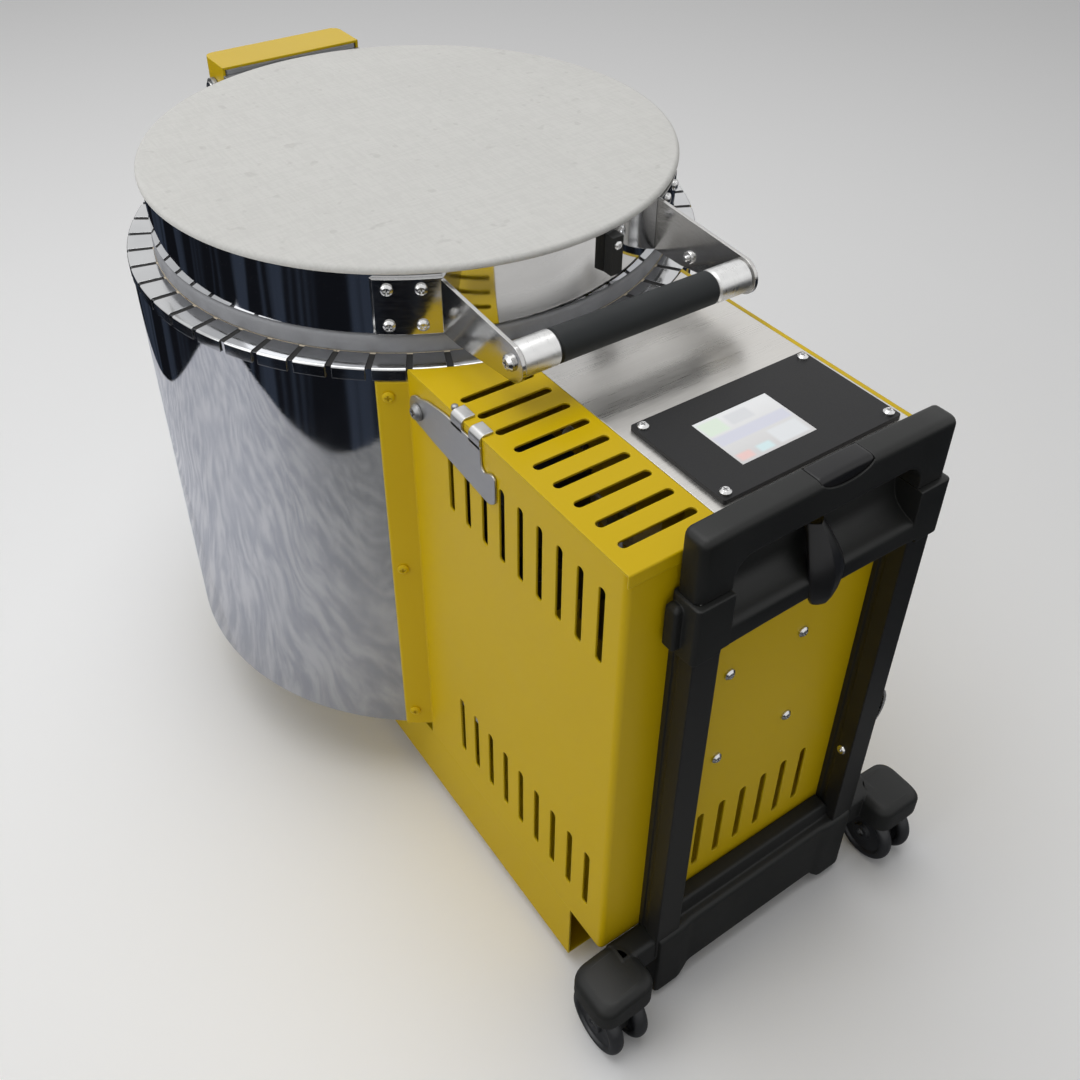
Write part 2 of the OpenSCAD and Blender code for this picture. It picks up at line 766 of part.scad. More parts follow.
rail_back = box_front;
rail_out = rail_back + rail_s;
rail_dx = (rails_w - rail_s) / 2;
bar_z = foot_h;
bar_top = bar_z + bar_h;
rail_z = bar_top - 20;
rail_top = bracket_z + bracket_end_h - 6;
bore_1 = rail_s - 2 * rail_wall;
mid_s = bore_1 - 2 * slip;
mid_wall = 1.2;
bore_2 = mid_s - 2 * mid_wall;
inner_s = bore_2 - 2 * slip;

// An upright square tube about x = 0, in the middle of the rails' depth.
module square_tube(size, wall, low, high) {
  translate([0, -rail_back - rail_s / 2, 0]) difference() {
    block([-size / 2, -size / 2, low], [size / 2, size / 2, high]);
    block([-size / 2 + wall, -size / 2 + wall, low - 1], [size / 2 - wall, size / 2 - wall, high + 1]);
  }
}

groove_w = 4;
groove_t = 0.6;

// One rail with a shallow groove down both sides and a screw head at each end.
module rail(side) {
  translate([trolley_x + side * rail_dx, 0, 0]) difference() {
    square_tube(rail_s, rail_wall, rail_z, rail_top);
    for (s = [-1, 1]) block([s * rail_s / 2 - groove_t, -rail_back - rail_s / 2 - groove_w / 2 + 4, bar_top],
      [s * rail_s / 2 + groove_t, -rail_back - rail_s / 2 + groove_w / 2 + 4, bracket_z]);
  }
}

module rail_left() {
  color(black) at_drum() rail(-1);
}

module rail_right() {
  color(black) at_drum() rail(1);
}

bracket_over = 3;
bracket_arch = 3;
bracket_lip_h = 10;
bracket_lip_t = 1.5;
lug = 8;

// Radius of an arch with a given half-width and rise.
function arch_r(half, rise) = (half * half + rise * rise) / (2 * rise);

// Moulded bracket that ties the rails' tops together.
module cross_bracket() {
  color(black) at_drum() translate([trolley_x, 0, 0]) difference() {
    union() {
      translate([0, -rail_back - 2, 0]) rotate([90, 0, 0]) linear_extrude(rail_s + bracket_over - 2)
        difference() {
        translate([-rails_w / 2, bracket_z + 1]) square([rails_w, bracket_h - 1]);
        translate([0, bracket_z + bracket_arch - arch_r(rail_dx, bracket_arch)])
          circle(r = arch_r(rail_dx, bracket_arch), $fn = 256);
      }
      for (s = [-1, 1])
        translate([s * rail_dx, -(rail_out + bracket_over + rail_back) / 2,
        bracket_z + bracket_end_h / 2])
        cube([rail_s + 2 * bracket_over, rail_s + bracket_over - 1, bracket_end_h], center = true);
      block([-rail_dx, -rail_back - 2 - bracket_lip_t, bracket_z + bracket_h - 1],
        [rail_dx, -rail_back - 2, bracket_z + bracket_h + bracket_lip_h]);
      for (s = [-1, 1]) translate([s * (rails_w / 2 + lug / 2), -rail_back - 7, bracket_z + 23])
        cube([lug, 10, 18], center = true);
    }
    for (s = [-1, 1]) translate([s * rail_dx, -rail_back - rail_s / 2, 0]) {
      translate([0, 0, (bracket_z + rail_top) / 2])
        cube([rail_s + seat, rail_s + seat, rail_top - bracket_z + seat], center = true);
      translate([0, 0, rail_top]) cube([mid_s + 2 * slip, mid_s + 2 * slip, 30], center = true);
      translate([0, 0, bracket_z]) cube([rail_s + seat, rail_s + seat, 10], center = true);
    }
  }
}

boss_w = 30;
boss_d = 5;
boss_z = bracket_z - 5;

// Tapered dark lock housing in the middle of the bracket.
module lock_boss() {
  color([0.05, 0.05, 0.06]) at_drum() translate([trolley_x, -rail_out - bracket_over, boss_z]) {
    rotate([90, 0, 0]) linear_extrude(boss_d) {
      polygon([[-boss_w * 0.32, 5], [boss_w * 0.32, 5], [boss_w / 2, 26], [boss_w * 0.3, 56],
        [-boss_w * 0.3, 56], [-boss_w / 2, 26]]);
      translate([0, 7]) circle(r = boss_w * 0.3);
    }
  }
}

ledge_h = 12;
bar_half = 80;
bar_chamfer = 10;
housing_z = 2 * wheel_r + 2;
housing_top = housing_z + housing_h;
housing_mid = -(box_front + housing_front) / 2;

// Moulded crossbar with a ledge and a caster housing at each end.
module crossbar() {
  color(black) at_drum() translate([trolley_x, 0, 0]) difference() {
    union() {
      translate([0, -rail_back, 0]) rotate([90, 0, 0]) linear_extrude(rail_s) polygon([
        [-bar_half, bar_z], [bar_half, bar_z], [bar_half + bar_chamfer, bar_z + bar_chamfer],
        [bar_half + bar_chamfer, housing_z], [caster_x - 18, housing_z], [caster_x - 18, bar_top],
        [-caster_x + 18, bar_top], [-caster_x + 18, housing_z], [-bar_half - bar_chamfer, housing_z],
        [-bar_half - bar_chamfer, bar_z + bar_chamfer]]);
      block([-rail_dx + rail_s / 2, -rail_out + 8, bar_top - eps],
        [rail_dx - rail_s / 2, -rail_back, bar_top + ledge_h]);
      for (s = [-1, 1]) {
        translate([s * caster_x, housing_mid, housing_z]) linear_extrude(housing_h)
          round_rect(housing_w, housing_d, 12);
        translate([s * (caster_x - 10), -rail_back - rail_s / 2, housing_z + housing_h / 2])
          cube([30, rail_s, housing_h], center = true);
      }
    }
    for (s = [-1, 1]) {
      translate([s * rail_dx, -rail_back - rail_s / 2, rail_z + 50])
        cube([rail_s + seat, rail_s + 2, 100], center = true);
      translate([s * caster_x, -caster_y, housing_z - 1]) cylinder(r = stem_r + run_gap, h = housing_h - 4);
    }
    for (s = [-1, 1]) translate([s * rail_dx, -rail_back - rail_s / 2, rail_z])
      cube([rail_s + seat, rail_s + 2, seat], center = true);
  }
}

hook_z = 187;
hook_h = 40;
hook_t = 1.5;
hook_w = 12;
hook_bow = 12;

// Bowed stainless strap on the right rail for hanging up a cord.
module cord_hook() {
  color(steel) at_drum() translate([trolley_x + rails_w / 2, -rail_back - rail_s / 2 - hook_w / 2, hook_z]) {
    block([0, 0, -hook_h / 2 - 8], [hook_t, hook_w, -hook_h / 2 + hook_t]);
    block([0, 0, hook_h / 2 - hook_t], [hook_t, hook_w, hook_h / 2 + 8]);
    rotate([-90, 0, 0]) intersection() {
      linear_extrude(hook_w) difference() {
        scale([hook_bow / (hook_h / 2), 1]) circle(r = hook_h / 2, $fn = 48);
        scale([(hook_bow - hook_t) / (hook_h / 2), 1]) circle(r = hook_h / 2 - hook_t, $fn = 48);
      }
      block([0, -hook_h, -1], [hook_h, hook_h, hook_w + 1]);
    }
  }
}

module lid_band() {
  color(steel) at_drum() translate([0, 0, lid_z]) tube(band_r, band_r - band_t, band_h);
}

crown_round = 3;

// Ceramic-fibre board that fills the band, with a rounded crown over it.
module lid_board() {
  color([0.9, 0.9, 0.88]) at_drum() translate([0, 0, lid_z]) {
    cylinder(r = band_r - band_t - seat, h = band_h + seat, $fn = 128);
    translate([0, 0, band_h + seat]) rotate_extrude($fn = 128) {
      square([band_r + crown_over - crown_round, crown_h - seat]);
      square([band_r + crown_over, crown_h - seat - crown_round]);
      translate([band_r + crown_over - crown_round, crown_h - seat - crown_round]) intersection() {
        circle(r = crown_round, $fn = 32);
        square(crown_round);
      }
    }
  }
}

saddle_rear = hinge_y - 22;
saddle_z = lid_z + 4;
saddle_bite = 12;

// Steel saddle between the lid band and the hinge cover.
module hinge_saddle() {
  color([0.62, 0.63, 0.65]) at_drum() difference() {
    block([-cover_w / 2, band_r - saddle_bite, saddle_z], [cover_w / 2, saddle_rear, lid_z + band_h]);
    translate([0, 0, saddle_z - 1]) cylinder(r = band_r + seat, h = band_h + 2, $fn = 128);
  }
}

cover_front = cover_rear - cover_d;
cover_low = hinge_z - 17;
cover_corner = 8;

// Yellow channel over the hinge, open below and at the front.
module hinge_cover() {
  color(yellow) at_drum() difference() {
    translate([0, (cover_front + cover_rear) / 2, cover_low]) difference() {
      linear_extrude(cover_top - cover_low) cover_outline(0);
      translate([0, 0, -1]) linear_extrude(cover_top - cover_low - cover_t + 1) cover_outline(cover_t);
    }
    translate([-cover_w, hinge_y, hinge_z]) rotate([0, 90, 0]) cylinder(r = rod_r + seat, h = 2 * cover_w);
  }
}

// Plan of the cover, drawn in by a given amount; its rear corners are round.
module cover_outline(inset) {
  w = cover_w - 2 * inset;
  r = cover_corner - inset;
  y0 = -cover_d / 2;
  y1 = cover_d / 2 - inset;
  translate([-w / 2, y0]) square([w, y1 - y0 - r]);
  translate([-w / 2 + r, y0]) square([w - 2 * r, y1 - y0]);
  for (s = [-1, 1]) translate([s * (w / 2 - r), y1 - r]) circle(r = r, $fn = 32);
}

rod_half = ear_x + ear_t / 2 + slip;
rod_cap = 1.5;

module hinge_rod() {
  color(steel) at_drum() translate([0, hinge_y, hinge_z]) rotate([0, 90, 0]) {
    cylinder(r = rod_r, h = 2 * rod_half, center = true);
    for (s = [-1, 1]) translate([0, 0, s * (rod_half + rod_cap / 2)])
      cylinder(r = rod_r + 2, h = rod_cap, center = true);
  }
}

arm_z = lid_z - 1;
arm_h = 40;
pad_w = 38;
arm_root_y = sqrt(band_r * band_r - pow(arm_span / 2, 2));
arm_end_r = 13;
grip_z = lid_z + grip_rise;
bolt_r = 3;

// Handle arm: a pad that follows the lid band, and a plate that tapers to a round end.
module handle_arm(s) {
  x_in = handle_x + s * (arm_span / 2 - arm_t / 2);
  pad_x = handle_x + s * (arm_span / 2 + pad_w / 2 - arm_t / 2);
  difference() {
    union() {
      intersection() {
        translate([0, 0, lid_z + 1]) tube(band_r + seat + arm_t, band_r + seat, arm_h);
        translate([pad_x, -band_r / 2 - 30, lid_z + arm_h / 2])
          cube([pad_w, band_r, 2 * arm_h], center = true);
      }
      translate([x_in, 0, 0]) rotate([90, 0, -90]) linear_extrude(arm_t, center = true) {
        polygon([[arm_root_y - 12, lid_z + 1], [arm_root_y - 12, lid_z + 1 + arm_h],
          [grip_y, grip_z + arm_end_r],
          [grip_y, grip_z - arm_end_r], [arm_root_y + 25, lid_z + 1]]);
        translate([grip_y, grip_z]) circle(r = arm_end_r);
      }
    }
    translate([0, 0, lid_z - 1]) cylinder(r = band_r + seat, h = band_h, $fn = 128);
    translate([x_in - 5, -grip_y, grip_z]) rotate([0, 90, 0]) cylinder(r = bolt_r + seat, h = 10);
    for (a = pad_screw_at(s)) translate([0, 0, a[1]]) rotate(a[0]) translate([band_r, 0, 0])
      rotate([0, 90, 0]) cylinder(r = pad_screw_r, h = 10, center = true, $fn = 24);
  }
}

pad_screw_r = 2;

// Angle about the drum axis and height of the four screws of one pad.
function pad_screw_at(s) = [for (dx = [10, 28], z = [8, 34])
  [-90 + s * asin((arm_span / 2 + s * handle_x + dx) / band_r), lid_z + z]];

module handle_arm_left() {
  color(steel) at_drum() handle_arm(-1);
}

module handle_arm_right() {
  color(steel) at_drum() handle_arm(1);
}

tube_half = arm_span / 2 - arm_t;

// Aluminium tube between the arms with a collar at each end of the grip.
module handle_tube() {
  color([0.75, 0.76, 0.78]) at_drum() translate([handle_x, -grip_y, grip_z]) rotate([0, 90, 0]) difference() {
    union() {
      translate([0, 0, -tube_half]) cylinder(r = tube_r, h = 2 * tube_half);
      for (s = [-1, 1]) translate([0, 0, s * (tube_half + grip_len / 2) / 2])
        cylinder(r = grip_r, h = tube_half - grip_len / 2, center = true);
    }
    cylinder(r = bolt_r + seat, h = 3 * tube_half, center = true);
  }
}

module handle_grip() {
  color(black) at_drum() translate([handle_x, -grip_y, grip_z]) rotate([0, 90, 0])
    translate([0, 0, -grip_len / 2 + seat]) tube(grip_r + 0.3, tube_r + seat, grip_len - 2 * seat);
}

tab_x = 39;
tab_w = 9;
tab_rise = 14;
tab_h = 28;
tab_d = 5;

tab_screw_z = lid_z + tab_rise + tab_h - 6;

// Screws of the handle pads, the two handle bolts and the tab's screw.
module lid_screws() {
  color([0.85, 0.85, 0.86]) at_drum() {
    for (s = [-1, 1], a = pad_screw_at(s)) translate([0, 0, a[1]]) rotate(a[0])
      translate([band_r + seat + arm_t, 0, 0]) rotate([0, 90, 0])
        pan_screw(4, 2.4, pad_screw_r - seat, arm_t);
    for (s = [-1, 1]) translate([handle_x + s * arm_span / 2, -grip_y, grip_z]) rotate([0, s * 90, 0])
      pan_screw(5.5, 3.5, bolt_r - seat, 20);
    translate([tab_x, -band_r - tab_d, tab_screw_z]) rotate([90, 0, 0])
      pan_screw(3, 2, pad_screw_r - seat, 4);
  }
}

// Black striker on the lid band for the lid switch.
module lid_tab() {
  color(black) at_drum() difference() {
    block([tab_x - tab_w / 2, -band_r - tab_d, lid_z + tab_rise],
      [tab_x + tab_w / 2, -band_r / 2, lid_z + tab_rise + tab_h]);
    translate([0, 0, lid_z]) cylinder(r = band_r + seat, h = band_h + 2, $fn = 128);
    translate([tab_x, -band_r - tab_d - 1, tab_screw_z]) rotate([-90, 0, 0])
      cylinder(r = pad_screw_r, h = 6, $fn = 24);
  }
}

lever_z = box_top - lever_drop;
lever_tabs = [46.5, 66.5];
lever_tab_w = 12;
lever_tab_over = 10;

// Lid prop: a plate on the left wall with two tabs that hook over the top edge.
module prop_lever() {
  color(steel) at_drum() translate([lever_x, -lever_y, lever_z]) difference() {
    union() {
      rotate([90, 0, -90]) translate([0, 0, -lever_t]) linear_extrude(lever_t) {
        circle(r = 10.5);
        polygon([[0, -10.5], [24, -13.5], [70, -16.5], [84, -19.5], [88, -12], [82, 2.5], [60, 12.5],
          [31, 13.8], [0, 10.5]]);
      }
      for (y = lever_tabs) {
        block([0, -y - lever_tab_w / 2, 5],
          [lever_t, -y + lever_tab_w / 2, lever_drop + lever_gap + lever_t]);
        block([0, -y - lever_tab_w / 2, lever_drop + lever_gap],
          [lever_tab_over, -y + lever_tab_w / 2, lever_drop + lever_gap + lever_t]);
      }
    }
    translate([-1, 0, 0]) rotate([0, 90, 0]) cylinder(r = pivot_r, h = lever_t + 2);
  }
}

stage_overlap = 40;
head_z = bracket_z + bracket_end_h + 0.4;
head_top = head_z + head_h;
mid_low = bracket_z - stage_travel + 6;
mid_high = head_z - slip;
inner_low = mid_low + 8;

module middle_tubes() {
  color([0.6, 0.61, 0.63]) at_drum() for (s = [-1, 1]) translate([trolley_x + s * rail_dx, 0, 0])
    square_tube(mid_s, mid_wall, mid_low - stage_overlap, mid_high);
}

button_x = 6;
button_d = 12;
head_back = rail_back + lip_t + slip;
head_out = head_back + head_d;
leg_w = rail_s + 4;
opening_half = rails_w / 2 + 1 - leg_w;
opening_rise = 8;

// Grip head with its two innermost tubes.
module grip_head() {
  color(black) at_drum() translate([trolley_x, 0, 0]) difference() {
    union() {
      translate([0, -head_back, 0]) rotate([90, 0, 0]) linear_extrude(head_d) difference() {
        translate([0, head_z + head_h / 2]) round_rect(rails_w + 2, head_h, 3);
        intersection() {
          translate([-opening_half, head_z - 1]) square([2 * opening_half, head_h]);
          translate([0, head_top - hand_bar_h - arch_r(opening_half, opening_rise)])
            circle(r = arch_r(opening_half, opening_rise), $fn = 256);
        }
      }
      for (s = [-1, 1])
        translate([s * rail_dx, -rail_back - rail_s / 2, (inner_low + head_z) / 2 - stage_overlap / 2])
        cube([inner_s, inner_s, head_z - inner_low + stage_overlap + 4], center = true);
    }
    block([button_x - button_w / 2 - slip, -head_out - 1, head_top - button_d - button_travel - 2],
      [button_x + button_w / 2 + slip, -head_back - 2, head_top + 1]);
  }
}

button_lip = 9;

// Push button that lies in the head's top and turns down over its front edge.
module release_button() {
  color([0.16, 0.16, 0.17]) at_drum() translate([trolley_x + button_x, 0, 0]) {
    block([-button_w / 2, -head_out + 1, head_top - button_lip],
      [button_w / 2, -head_back - 2.4, head_top + 0.8]);
    for (s = [-1, 1]) translate([s * button_w / 4, -(head_out + head_back) / 2, head_top - button_d - 1.8])
      cylinder(r = 3, h = button_d - button_lip + 1.8 + eps, $fn = 24);
  }
}

axle_gap = 10.5;
hub_w = 2 * (axle_gap - wheel_w / 2) - 2 * slip;
hub_r = 14;

// Swivelling hub between the two wheels, with its stem.
module caster_hub(s) {
  translate([trolley_x + s * caster_x, -caster_y, 0]) difference() {
    union() {
      translate([0, 0, wheel_r]) cylinder(r = stem_r, h = housing_top - 6 - wheel_r);
      translate([0, 0, housing_z - 1.5]) cylinder(r = stem_r + 4, h = 1.2);
      translate([-hub_w / 2, -caster_trail, wheel_r]) rotate([0, 90, 0]) cylinder(r = hub_r, h = hub_w);
      block([-hub_w / 2, -caster_trail - hub_r, wheel_r], [hub_w / 2, 8, housing_z - 1]);
    }
    translate([-50, -caster_trail, wheel_r]) rotate([0, 90, 0]) cylinder(r = axle_r + seat, h = 100);
  }
}

module caster_hub_left() {
  color([0.08, 0.08, 0.09]) at_drum() caster_hub(-1);
}

module caster_hub_right() {
  color([0.08, 0.08, 0.09]) at_drum() caster_hub(1);
}

module caster_axle(s) {
  half = axle_gap + wheel_w / 2 - 1;
  translate([trolley_x + s * caster_x - half, -caster_y - caster_trail, wheel_r]) rotate([0, 90, 0])
    cylinder(r = axle_r, h = 2 * half);
}

module caster_axle_left() {
  color(steel) at_drum() caster_axle(-1);
}

module caster_axle_right() {
  color(steel) at_drum() caster_axle(1);
}

tyre_round = 2.5;

// One wheel: s is the caster's side and t the side of the hub that it turns on.
module caster_wheel(s, t) {
  translate([trolley_x + s * caster_x + t * axle_gap, -caster_y - caster_trail, wheel_r])
    rotate([0, t * 90, 0])
    rotate_extrude($fn = 64) difference() {
      union() {
        translate([0, -wheel_w / 2]) square([wheel_r - tyre_round, wheel_w]);
        translate([0, -wheel_w / 2 + tyre_round]) square([wheel_r, wheel_w - 2 * tyre_round]);
        for (k = [-1, 1]) translate([wheel_r - tyre_round, k * (wheel_w / 2 - tyre_round)])
          circle(r = tyre_round, $fn = 24);
      }
      translate([0, -wheel_w]) square([axle_r + run_gap, 2 * wheel_w]);
      translate([axle_r + 4, wheel_w / 2 - 2]) square([wheel_r - axle_r - 9, 3]);
      translate([0, wheel_w / 2 - 1]) square([axle_r + 1, 3]);
    }
}

module caster_wheel_left_a() {
  color(black) at_drum() caster_wheel(-1, -1);
}

module caster_wheel_left_b() {
  color(black) at_drum() caster_wheel(-1, 1);
}

module caster_wheel_right_a() {
  color(black) at_drum() caster_wheel(1, -1);
}

module caster_wheel_right_b() {
  color(black) at_drum() caster_wheel(1, 1);
}

base_tray();
rear_feet();
drum_spacers();
bottom_pan();
hearth_slab();
wall_bricks();
heating_elements();
lead_bushes();
thermocouple();
jacket();
tab_ring();
rim_gasket();
box_shell();
box_floor();
top_cover();
control_panel();
faceplate();
touch_screen();
faceplate_screws();
circuit_board();
relays();
transformer();
terminal_block();
heat_shield();
cord_gland();
flange_rivets();
front_screws();
lever_bolt();
hinge_bracket();
hinge_springs();
rail_left();
rail_right();
cross_bracket();
lock_boss();
crossbar();
cord_hook();
lid_band();
lid_board();
hinge_saddle();
hinge_cover();
hinge_rod();
handle_arm_left();
handle_arm_right();
handle_tube();
handle_grip();
lid_screws();
lid_tab();
prop_lever();
middle_tubes();
grip_head();
release_button();
caster_hub_left();
caster_axle_left();
caster_wheel_left_a();
caster_wheel_left_b();
caster_hub_right();
caster_axle_right();
caster_wheel_right_a();
caster_wheel_right_b();
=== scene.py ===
import math
import random
import bmesh
import bpy
from mathutils import Matrix, Vector


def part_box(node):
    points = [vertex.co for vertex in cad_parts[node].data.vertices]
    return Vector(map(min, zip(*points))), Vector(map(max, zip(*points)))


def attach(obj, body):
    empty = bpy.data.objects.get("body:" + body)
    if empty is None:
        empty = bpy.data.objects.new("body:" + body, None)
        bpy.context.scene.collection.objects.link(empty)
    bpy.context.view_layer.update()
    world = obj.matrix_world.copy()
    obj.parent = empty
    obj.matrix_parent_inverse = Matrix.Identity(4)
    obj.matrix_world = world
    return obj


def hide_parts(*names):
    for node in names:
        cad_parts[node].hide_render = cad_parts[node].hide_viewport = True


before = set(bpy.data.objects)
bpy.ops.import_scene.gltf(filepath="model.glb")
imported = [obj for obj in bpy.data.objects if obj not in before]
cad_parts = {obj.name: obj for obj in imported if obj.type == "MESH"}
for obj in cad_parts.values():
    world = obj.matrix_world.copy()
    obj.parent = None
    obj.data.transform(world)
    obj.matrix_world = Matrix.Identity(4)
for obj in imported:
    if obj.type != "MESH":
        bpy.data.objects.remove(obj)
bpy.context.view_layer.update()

# The camera stands where the photographer stood: above the box's front left corner.
# Its place and angles come from fitting the drum, the box and the trolley to the photograph.
jacket_low, jacket_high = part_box("jacket")
drum_y = (jacket_low[1] + jacket_high[1]) / 2
camera_place = (-0.3957, drum_y - 0.7307, 0.8471)
camera_azimuth, camera_elevation, camera_roll = -35.04, 37.46, 0.495
lens_mm, sensor_mm = 39.05, 36
camera_data = bpy.data.cameras.new("camera")
camera_data.lens = lens_mm
camera_data.sensor_width = sensor_mm
camera_data.shift_x = 0.0027
camera_data.shift_y = -0.0987
camera = bpy.data.objects.new("camera", camera_data)
turn = Matrix.Rotation(math.radians(camera_azimuth), 4, "Z")
tilt = Matrix.Rotation(math.radians(90 - camera_elevation), 4, "X")
roll = Matrix.Rotation(math.radians(camera_roll), 4, "Z")
camera.matrix_world = Matrix.Translation(camera_place) @ turn @ tilt @ roll
bpy.context.collection.objects.link(camera)
bpy.context.scene.camera = camera
bpy.context.scene.view_settings.view_transform = "Standard"


# The studio: a pale floor, an even white sky and three soft lamps, a wide one overhead, a weaker
# one at the left and a faint one at the right. Value and Finish below build every material.
class Value:
    """One output of a shader tree, which adds and multiplies like a number."""

    def __init__(self, tree, socket):
        self.tree = tree
        self.socket = socket

    def math(self, operation, *others):
        node = self.tree.nodes.new("ShaderNodeMath")
        node.operation = operation
        for place, value in enumerate((self, *others)):
            feed(self.tree, node.inputs[place], value)
        return Value(self.tree, node.outputs[0])

    def __add__(self, other):
        return self.math("ADD", other)

    __radd__ = __add__

    def __mul__(self, other):
        return self.math("MULTIPLY", other)

    __rmul__ = __mul__

    def __sub__(self, other):
        return self.math("SUBTRACT", other)

    def __rsub__(self, other):
        return (self * -1) + other

    def clamp(self):
        return self.math("MAXIMUM", 0.0).math("MINIMUM", 1.0)


def feed(tree, socket, value):
    """Links a shader value into a socket, or writes a plain number or colour there."""
    if isinstance(value, Value):
        tree.links.new(value.socket, socket)
    elif hasattr(socket.default_value, "__len__") and not hasattr(value, "__len__"):
        socket.default_value = [value] * len(socket.default_value)
    elif hasattr(value, "__len__") and len(value) == 3 and len(socket.default_value) == 4:
        socket.default_value = (*value, 1.0)
    else:
        socket.default_value = value


class Finish:
    """One material: node() adds any node, and surface() sets the shader's own values."""

    def __init__(self, name):
        self.material = bpy.data.materials.new(name)
        self.material.use_nodes = True
        self.tree = self.material.node_tree
        self.tree.nodes.clear()
        self.shader = self.tree.nodes.new("ShaderNodeBsdfPrincipled")
        output = self.tree.nodes.new("ShaderNodeOutputMaterial")
        self.tree.links.new(self.shader.outputs[0], output.inputs[0])
        self.place = self.node("ShaderNodeTexCoord", out="Object")

    def node(self, kind, settings=None, inputs=None, out=0):
        node = self.tree.nodes.new(kind)
        for name, value in (settings or {}).items():
            if name == "stops":
                ramp = node.color_ramp
                while len(ramp.elements) < len(value):
                    ramp.elements.new(0.5)
                for element, (position, colour) in zip(ramp.elements, value):
                    element.position = position
                    element.color = (*colour, 1.0)
            else:
                setattr(node, name, value)
        for name, value in (inputs or {}).items():
            feed(self.tree, node.inputs[name], value)
        return Value(self.tree, node.outputs[out])

    def stretched(self, x=1.0, y=1.0, z=1.0):
        return self.vector("MULTIPLY", self.place, (x, y, z))

    def vector(self, operation, *values, out=0):
        return self.node("ShaderNodeVectorMath", {"operation": operation}, dict(enumerate(values)), out)

    def noise(self, scale, detail=3.0, roughness=0.55, at=None):
        return self.node("ShaderNodeTexNoise", {},
                         {"Vector": at or self.place, "Scale": scale, "Detail": detail,
                          "Roughness": roughness})

    def axis(self, letter):
        return self.node("ShaderNodeSeparateXYZ", {}, {0: self.place}, out=letter)

    def blend(self, amount, low, high):
        return self.node("ShaderNodeMix", {"data_type": "RGBA"}, {0: amount, 6: low, 7: high}, out=2)

    def step(self, value, low, high, to_low=0.0, to_high=1.0):
        return self.node("ShaderNodeMapRange", {"interpolation_type": "SMOOTHSTEP"},
                         {0: value, 1: low, 2: high, 3: to_low, 4: to_high})

    def bump(self, height, strength, depth, normal=None):
        inputs = {"Height": height, "Strength": strength, "Distance": depth}
        if normal is not None:
            inputs["Normal"] = normal
        return self.node("ShaderNodeBump", {}, inputs)

    def soft_edge(self, radius):
        return self.node("ShaderNodeBevel", {"samples": 6}, {"Radius": radius})

    def edge(self, radius):
        """A mask that is 1 along edges, where the rounded normal leaves the true one."""
        true_normal = self.node("ShaderNodeNewGeometry", out="True Normal")
        dot = self.vector("DOT_PRODUCT", self.soft_edge(radius), true_normal, out="Value")
        return ((1.0 - dot) * 4.0).clamp()

    def surface(self, **values):
        for name, value in values.items():
            feed(self.tree, self.shader.inputs[name.replace("_", " ")], value)
        return self.material


def lamp(name, place, target, size, watts, colour=(1, 1, 1)):
    data = bpy.data.lights.new(name, "AREA")
    data.shape = "RECTANGLE"
    data.size, data.size_y = size
    data.energy = watts
    data.color = colour
    thing = bpy.data.objects.new(name, data)
    thing.location = place
    thing.rotation_euler = (Vector(target) - Vector(place)).to_track_quat("-Z", "Y").to_euler()
    bpy.context.collection.objects.link(thing)


lamp("top_lamp", (-0.3, 0.3, 2.6), (0, 0, 0.3), (2.2, 2.2), 36)
lamp("left_lamp", (-2.4, 0.2, 1.5), (0, 0, 0.3), (1.6, 1.6), 12)
lamp("right_lamp", (1.9, -1.7, 1.7), (0, 0, 0.3), (1.2, 1.2), 0.8)

sky = bpy.data.worlds.new("sky")
sky.use_nodes = True
bpy.context.scene.world = sky
sky_tree = sky.node_tree
rays = sky_tree.nodes.new("ShaderNodeLightPath")
seen = Value(sky_tree, rays.outputs["Is Camera Ray"]) + Value(sky_tree, rays.outputs["Is Glossy Ray"])
seen = (seen + Value(sky_tree, rays.outputs["Is Transmission Ray"])).clamp()
sky_fill = 0.29
feed(sky_tree, sky_tree.nodes["Background"].inputs["Color"], (1.0, 1.0, 1.0))
feed(sky_tree, sky_tree.nodes["Background"].inputs["Strength"], seen * (1.0 - sky_fill) + sky_fill)

floor_half = 12.0
floor_mesh = bpy.data.meshes.new("floor")
corners = [(-floor_half, -floor_half, 0), (floor_half, -floor_half, 0),
           (floor_half, floor_half, 0), (-floor_half, floor_half, 0)]
floor_mesh.from_pydata(corners, [], [(0, 1, 2, 3)])
floor = bpy.data.objects.new("floor", floor_mesh)
bpy.context.collection.objects.link(floor)
floor_paint = Finish("floor_paint")
floor_mesh.materials.append(
    floor_paint.surface(Base_Color=(0.94, 0.94, 0.94), Roughness=0.9, Specular_IOR_Level=0.1))

# Dark ground beyond the pale floor, seen only in polished steel: it gives the drum and the lid
# band the dark zones that such steel has in a room. Its inner edge comes near in rounded lobes
# with pale cusps between them, and inside it lies a pale creased cloth.
dark_points = 240
dark_inner, dark_outer = 0.61, 3.0
dark_z, cloth_z, cloth_overlap = 0.002, 0.001, 0.05
lobe_depth, lobe_count, first_cusp = 0.30, 4, math.radians(165)
dark_mesh = bmesh.new()
dark_rings = []
for step in range(dark_points):
    angle = 2 * math.pi * step / dark_points
    reach = dark_inner + lobe_depth * (1 - abs(math.sin((angle - first_cusp) * lobe_count / 2)))
    ring = [dark_mesh.verts.new((r * math.cos(angle), drum_y + r * math.sin(angle), dark_z))
            for r in (reach, dark_outer)]
    dark_rings.append(ring)
for step in range(dark_points):
    a, b = dark_rings[step], dark_rings[(step + 1) % dark_points]
    dark_mesh.faces.new((a[0], a[1], b[1], b[0]))
cloth_mesh = bmesh.new()
bmesh.ops.create_circle(cloth_mesh, cap_ends=True, segments=96,
                        radius=dark_inner + lobe_depth + cloth_overlap)
